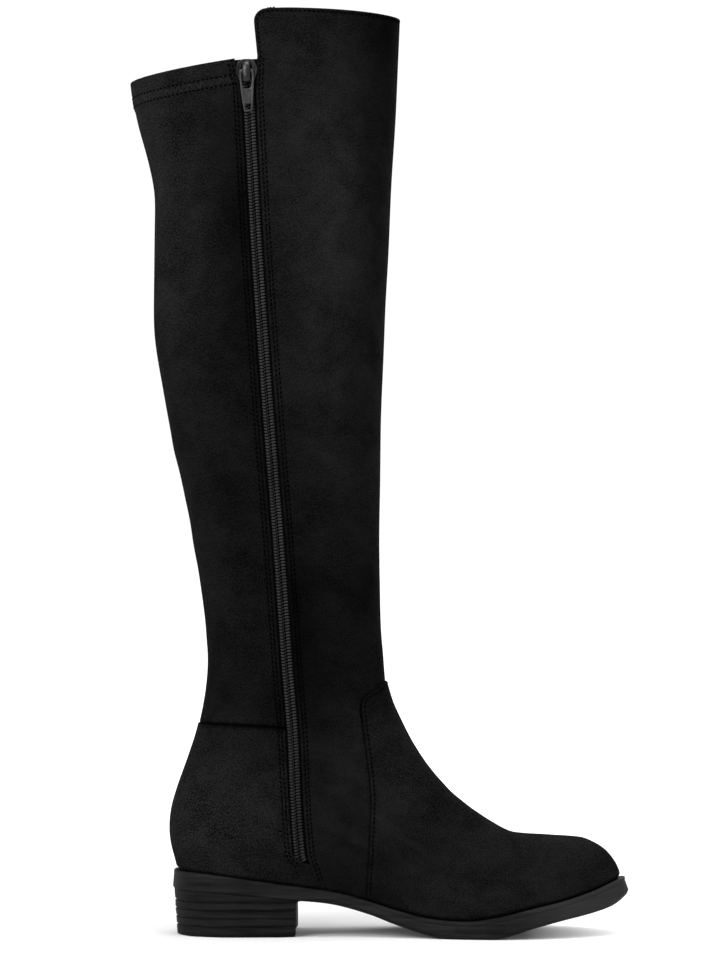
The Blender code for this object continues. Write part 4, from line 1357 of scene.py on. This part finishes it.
class BOOT_OT_stitching(bpy.types.Operator):
    """Builds the rows of stitches along the panels' edges"""

    bl_idname = "boot.stitching"
    bl_label = "Stitching"

    def execute(self, context):
        # The thread is near black: partly its own colour, partly painted shade standing for the
        # needle holes
        thread_and_hole_shade = hard("sewing thread and hole shade", 0.0, 0.0006, 0.9, depth=0.04, shine=0.0)
        pale = hard("hem thread", 0.004, 0.02, 0.9, depth=0.04, shine=0.0)
        front, back, heel, foot = front_panel(), back_panel(), counter(), vamp()

        def rows(panels, edge, distances):
            pitch = context.scene.boot_sizes.stitch
            return [thread(inset(panels, edge, distance), pitch) for distance in distances]

        edge = front.rim("first", "top", "last", levels=(0.03, 3.0))
        stitches = rows([front], edge, FRONT_ROWS[:1])
        for side in ("first", "last"):
            stitches += rows([front], front.rim(side, levels=(0.03, 2.02)), FRONT_ROWS[1:])
        scattered("front_stitches", stitches, thread_and_hole_shade)

        lower, upper = heel.rim("last", levels=(SLOT_END + 0.005, 1.0)), back.rim("last")
        edge = resampled(np.concatenate([lower[::-1], upper[::-1]]), 0.25 * MM)
        scattered("rear_stitches", rows([back, heel], edge, REAR_ROWS), thread_and_hole_shade)

        edge = back.rim("top")
        scattered("hem_stitches", rows([back], edge, HEM_ROWS), thread_and_hole_shade)
        middle = inset([back], edge, sum(HEM_ROWS) / 2)
        zigzag = thread(middle, 1.9 * MM, 4.6 * MM, 0.3 * MM, turn=math.radians(66))
        scattered("hem_zigzag", [zigzag], pale)

        edge = foot.rim("first", "top", "last", levels=(0.03, 1.0))
        scattered("vamp_stitches", rows([foot], edge, (VAMP_ROW,)), thread_and_hole_shade)
        return {"FINISHED"}


class BOOT_OT_zip(bpy.types.Operator):
    """Builds the zip's tapes and teeth, its slider and its pull"""

    bl_idname = "boot.zip"
    bl_label = "Zip"

    def execute(self, context):
        metal = context.scene.boot_colours.metal
        self.tapes(tape_cloth("zip tape", 0.0008, 0.0035))
        nylon = hard("zip nylon", 0.006, 0.022, 0.45, depth=0.02, shine=0.15)
        self.teeth(nylon, context.scene.boot_sizes.tooth)
        self.slider(hard("slider metal", metal * 0.1, metal * 0.75, 0.36, metal=1.0))
        self.pull(hard("pull metal", metal * 0.4, metal, 0.36, metal=1.0))
        return {"FINISHED"}

    def tapes(self, finish):
        half = ((10, 2.9), (7, 2.75), (4.5, 2.5), (3, 2.35), (0.9, 2.3), (0.25, 2.6))
        section = np.array([*((-x, depth) for x, depth in half), *reversed(half)]) * MM
        point, across, _, out = zip_frame(np.linspace(-0.0005, zip_track()[1][-1], 240))
        edit = bmesh.new()
        sides = across[:, None] * section[:, :1] - out[:, None] * section[:, 1:]
        gridded(edit, point[:, None] + sides)
        nodes = ("zip_tape_rear", "zip_tape_front")
        made = piece("zip_tapes", edit, finish, "zip_tape", nodes=nodes)
        thicken(made, 0.5 * MM, 0.1 * MM)

    def teeth(self, finish, pitch):
        look = {"finish": finish, "slot": "zip_coil"}
        boxy = {**look, "squareness": 0.7, "sides": 8}
        rear, front, heads = (teeth(pitch, *row) for row in (REAR_TEETH, FRONT_TEETH, TOOTH_HEADS))
        scattered("zip_teeth_rear", [rear], nodes=("zip_coil_rear",), **boxy)
        scattered("zip_teeth_front", [front], nodes=("zip_coil_front",), **boxy)
        scattered("zip_tooth_heads", [heads], **look)

    def slider(self, finish):
        edit = bmesh.new()
        plate(edit, 0.7, 2.0, 0.3, SLIDER_SIDE, SLIDER_HOLE)
        plate(edit, 1.9, 2.5, 0.2, SLIDER_SIDE, SLIDER_RIM)
        plate(edit, -4.6, -3.7, 0.2, SLIDER_BACK)
        plate(edit, -3.9, 0.9, 0.1, SLIDER_POST)
        tube(edit, BRIDGE)
        bmesh.ops.transform(edit, matrix=slider_frame(), verts=edit.verts)
        made = {"nodes": ("zip_slider",), "smooth": 40, "shift": Vector()}
        piece("slider", edit, finish, "slider_metal", **made)

    def pull(self, finish):
        """The pull: a ring and a plate with a grid of small dots."""
        edit = bmesh.new()
        plate(edit, -0.7, 0.4, 0.22, PULL_SIDE, PULL_WINDOW, PULL_FOOT_WINDOW)
        plate(edit, 0.3, 0.7, 0.12, PULL_SIDE, PULL_WINDOW, PULL_RECESS, PULL_FOOT_WINDOW)
        dots = [(x * 0.72, -11.9 - row * 0.76, 0.38) for row in range(9) for x in range(-2, 3)]
        turns = np.array([np.eye(3) * 0.27 * MM] * len(dots))
        dots = mesh_of("dots", repeated(np.array(dots) * MM, turns, squareness=0.8))
        edit.from_mesh(dots)
        bpy.data.meshes.remove(dots)
        bmesh.ops.transform(edit, matrix=slider_frame(PIVOT_OUT), verts=edit.verts)
        made = {"body": "pull", "nodes": ("zip_pull",), "smooth": 40, "shift": Vector()}
        piece("pull_tab", edit, finish, "pull_metal", **made)


class BOOT_OT_sole(bpy.types.Operator):
    """Builds the sole, the heel and the sock inside"""

    bl_idname = "boot.sole"
    bl_label = "Sole"
    bottom_rounding = (0.9 * MM, 2.3 * MM)
    tread_ends, tread_fade, tread_pitch, tread_depth = (112, 246), 12, 7, 0.7 * MM

    def execute(self, context):
        rubber = context.scene.boot_colours.rubber
        dark, light = rubber * 0.15, rubber * 2.2
        look = {"roughness": 0.6, "brush": (0.05, 0.05, 1.0)}
        # The sole's toe is painted lighter, as light falling on its front
        self.sole(hard("sole rubber", dark, light, toe=rubber * 3.8, shine=0.06, **look))
        self.heel(hard("heel stack", dark * 0.6, light * 0.9, depth=0.1, shine=0.05, **look))
        self.sock(tape_cloth("sock cloth", 0.012, 0.03))
        return {"FINISHED"}

    def sole(self, finish):
        """The sole's rounded side with its welt, and its top and its tread."""

        def loop(row, angle):
            x = along_sole(angle)
            rounding = lerp(*self.bottom_rounding, smoothstep((x - HEEL_BREAST) / (16 * MM)))
            ahead = smoothstep((x - LEAN_START) / (SOLE_LENGTH - LEAN_START))
            lean = lerp(SIDE_LEAN, TOE_LEAN, ahead)
            groove = 0.22 * MM * smoothstep(x / (60 * MM) - 2)
            # Each row's height from the bottom or the top line, and its inset
            height, inset_by = (
                (0.0, rounding),
                (rounding * 0.3, rounding * 0.3),
                (rounding, 0.0),
                (-3.1 * MM, lean * 0.9),
                (-2.75 * MM, lean + groove),
                (-2.4 * MM, lean),
                (-1.1 * MM, lean),
                (-0.35 * MM, lean + 0.3 * MM),
                (0.0, lean + 1.0 * MM),
            )[row]
            plan = sole_outline(angle, inset_by)
            line = sole_bottom if row <= 2 else sole_top
            return np.column_stack([plan, line(plan[:, 0]) + height])

        def across(row, tread=0.0):
            start, end = self.tread_ends

            def place(u, v):
                found = lerp(loop(row, u * math.pi), loop(row, (2 - u) * math.pi), v[:, None])
                x = found[:, 0] / MM
                shown = smoothstep((x - start) / self.tread_fade)
                shown = shown * smoothstep((end - x) / self.tread_fade)
                shown = shown * smoothstep((np.minimum(v, 1 - v) - 0.1) / 0.08)
                ribs = smoothstep(np.sin(x * 2 * math.pi / self.tread_pitch) * 3 - 1.2)
                found[:, 2] += tread * shown * ribs
                return found

            return place

        edit = bmesh.new()
        row_by_row(edit, 440, 9, lambda row, share: loop(row, share * 2 * math.pi))
        sheet(edit, 220, 24, across(0, self.tread_depth))
        sheet(edit, 220, 8, across(8))
        merge(edit, 4e-6)
        piece("sole", edit, finish, "outsole_rubber", nodes=("outsole",), smooth=28)

    def heel(self, finish):
        """The stacked heel: layers with fine grooves between them, and a top piece on the floor."""
        # Each row's height and inset in millimetres. The last one follows the sole
        rows = [(0.0, 0.7), (0.45, 0.15), (1.55, 0.0), (1.85, 0.22), (2.1, 0.02)]
        for index, groove in enumerate(HEEL_GROOVES):
            step = 0.1 * math.sin(index * 2.3)
            rows += [(groove - 1.6, step), (groove - 0.6, 0.04), (groove - 0.25, 0.75)]
            rows += [(groove + 0.2, 0.75), (groove + 0.7, 0.03 + step)]
        rows += [(height, 0.0) for height in (22.6, 23.6, 24.4, 25.1, 25.7, 26.2)] + [(None, 0.0)]
        last_turn = math.acos(1 - 2 * HEEL_BREAST / SOLE_LENGTH)

        def under_sole(x):
            return sole_bottom(x) - HEEL_GAP

        def side(row, share):
            z, extra = rows[row]
            inset_by = HEEL_INSET
            if z is not None:
                inset_by += HEEL_TAPER * (1 - z / 27) + extra * MM
            plan = sole_outline((share * 2 - 1) * last_turn, np.full_like(share, inset_by))
            x = plan[:, 0]
            height = under = under_sole(x)
            if z is not None:
                wander = HEEL_WANDER * np.sin(x / MM * 0.21 + z * 1.9) if z > 3 else 0.0
                height = np.minimum(z * MM + wander, under)
            at_breast = smoothstep((x - HEEL_BREAST + 8 * MM) / (6 * MM))
            nose = fillet(under - height, HEEL_FILLET) - fillet(height, HEEL_FOOT)
            return np.column_stack([x + nose * at_breast, plan[:, 1], height])

        def breast(row, share):
            inner, outer = side(row, np.array([1.0, 0.0]))
            found = lerp(inner, outer, share[:, None])
            found[:, 0] -= BREAST_HOLLOW * 4 * share * (1 - share)
            found[:, 2] = np.minimum(found[:, 2], under_sole(found[:, 0]))
            return found

        def lid(row):
            def place(u, v):
                found = lerp(side(row, 0.5 + u / 2), side(row, 0.5 - u / 2), v[:, None])
                found[:, 0] -= BREAST_HOLLOW * 4 * v * (1 - v) * u**12
                if rows[row][0] is None:
                    found[:, 2] = under_sole(found[:, 0])
                return found

            return place

        edit = bmesh.new()
        row_by_row(edit, 120, len(rows), side)
        row_by_row(edit, 20, len(rows), breast)
        sheet(edit, 60, 20, lid(0))
        sheet(edit, 60, 20, lid(-1))
        merge(edit, 4e-6)
        piece("heel_block", edit, finish, "heel_stack", nodes=("heel",), smooth=28)

    def sock(self, finish):
        """The solid's own shape with clean faces and smooth shading."""
        edit = bmesh.new()
        edit.from_mesh(frame["nodes"]["insole"].data)
        merge(edit)
        flat = math.radians(2)
        bmesh.ops.dissolve_limit(edit, angle_limit=flat, verts=edit.verts, edges=edit.edges)
        piece("sock", edit, finish, "insole_sock", nodes=("insole",), smooth=32, shift=Vector())


class BOOT_OT_stage(bpy.types.Operator):
    """Builds the floor, the light and the camera"""

    bl_idname = "boot.stage"
    bl_label = "Stage"

    def execute(self, context):
        edit = bmesh.new()
        bmesh.ops.create_grid(edit, x_segments=8, y_segments=8, size=12.0)
        floor = placed("floor", mesh_of("floor", edit))
        floor.data.materials.append(self.floor_finish())
        floor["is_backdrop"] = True

        setting = context.scene.boot_stage
        world = bpy.data.worlds.new("studio")
        context.scene.world = world
        world.use_nodes = True
        nodes = Nodes(world.node_tree)
        soft, seen = (
            nodes.add("ShaderNodeBackground", {"Color": grey(1.0), "Strength": strength}).outputs[0]
            for strength in (setting.light, 1.05)
        )
        ray = nodes.add("ShaderNodeLightPath").outputs["Is Camera Ray"]
        both = nodes.add("ShaderNodeMixShader", {0: ray, 1: soft, 2: seen})
        nodes.add("ShaderNodeOutputWorld", {"Surface": both.outputs[0]})

        self.lamp("key", (-1.3, -1.9, 1.5), 1.4, 52.0)
        self.lamp("front", (1.3, -1.6, 0.9), 1.1, 5.0)
        self.lamp("top", (0.1, -0.25, 2.4), 1.3, 50.0)
        self.lamp("back", (0.6, 2.2, 1.7), 1.6, 24.0)

        eye = bpy.data.cameras.new("camera")
        eye.sensor_fit = "VERTICAL"
        eye.sensor_height = 36.0
        eye.lens = 36.0 * setting.distance / setting.view
        eye.clip_end = 60.0
        camera = placed("camera", eye)
        camera.location = (setting.across + SHIFT.x, SHIFT.y - setting.distance, setting.height)
        camera.rotation_euler = (math.radians(90), 0.0, 0.0)
        context.scene.camera = camera
        context.scene.view_settings.view_transform = "Standard"
        return {"FINISHED"}

    def floor_finish(self):
        """A pale floor that glows a little, more so far away, and more just before the toe, where
        the glow is painted light that lightens the toe's shadow.
        """
        material, nodes = new_material("floor")
        place = nodes.add("ShaderNodeTexCoord").outputs["Object"]
        away = nodes.add("ShaderNodeVectorMath", {0: place}, operation="LENGTH").outputs["Value"]
        glow = nodes.mix(nodes.ramp(away, 0.25, 1.5), grey(0.04), grey(0.8))
        # Painted light: a glow before the toe that lightens the shadow there
        under_toe = nodes.scaled(nodes.ahead(place, 0.084, 0.138), nodes.ahead(place, 0.18, 0.145))
        look = {
            "Base Color": nodes.mix(nodes.noise(place, 3.0, 2.0), grey(0.6), grey(0.64)),
            "Roughness": 0.9,
            "Specular IOR Level": 0.0,
            "Emission Color": nodes.mix(under_toe, glow, grey(0.6)),
            "Emission Strength": 1.0,
        }
        surfaced(nodes, look)
        return material

    def lamp(self, name, place, size, power):
        light = bpy.data.lights.new(name, "AREA")
        light.size = size
        light.energy = power
        lamp = placed(name, light)
        lamp.location = place
        aim = Vector((0.0, 0.0, 0.2)) - Vector(place)
        lamp.rotation_euler = aim.to_track_quat("-Z", "Y").to_euler()


class BOOT_PT_panel(bpy.types.Panel):
    """The boot's pieces and settings"""

    bl_idname = "BOOT_PT_panel"
    bl_label = "Over-the-knee boot"
    bl_space_type = "VIEW_3D"
    bl_region_type = "UI"
    bl_category = "Boot"

    def draw(self, context):
        scene = context.scene
        for settings in (scene.boot_colours, scene.boot_sizes, scene.boot_stage):
            for name in settings.bl_rna.properties.keys():
                if name not in ("rna_type", "name"):
                    self.layout.prop(settings, name)
        for step in STEPS:
            self.layout.operator(step.bl_idname)


STEPS = (
    BOOT_OT_panels,
    BOOT_OT_lining,
    BOOT_OT_stitching,
    BOOT_OT_zip,
    BOOT_OT_sole,
    BOOT_OT_stage,
)
CLASSES = (BootColours, BootSizes, BootStage, *STEPS, BOOT_PT_panel)


def register():
    for one in CLASSES:
        bpy.utils.register_class(one)
    bpy.types.Scene.boot_colours = bpy.props.PointerProperty(type=BootColours)
    bpy.types.Scene.boot_sizes = bpy.props.PointerProperty(type=BootSizes)
    bpy.types.Scene.boot_stage = bpy.props.PointerProperty(type=BootStage)


def unregister():
    del bpy.types.Scene.boot_stage
    del bpy.types.Scene.boot_sizes
    del bpy.types.Scene.boot_colours
    for one in reversed(CLASSES):
        bpy.utils.unregister_class(one)


def main():
    register()
    bpy.ops.boot.panels()
    bpy.ops.boot.lining()
    bpy.ops.boot.stitching()
    bpy.ops.boot.zip()
    bpy.ops.boot.sole()
    bpy.ops.boot.stage()
    boxes = {"cad": CAD_BOX, "visual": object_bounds()}
    {name: [list(corner) for corner in box] for name, box in boxes.items()}


if __name__ == "__main__":
    main()
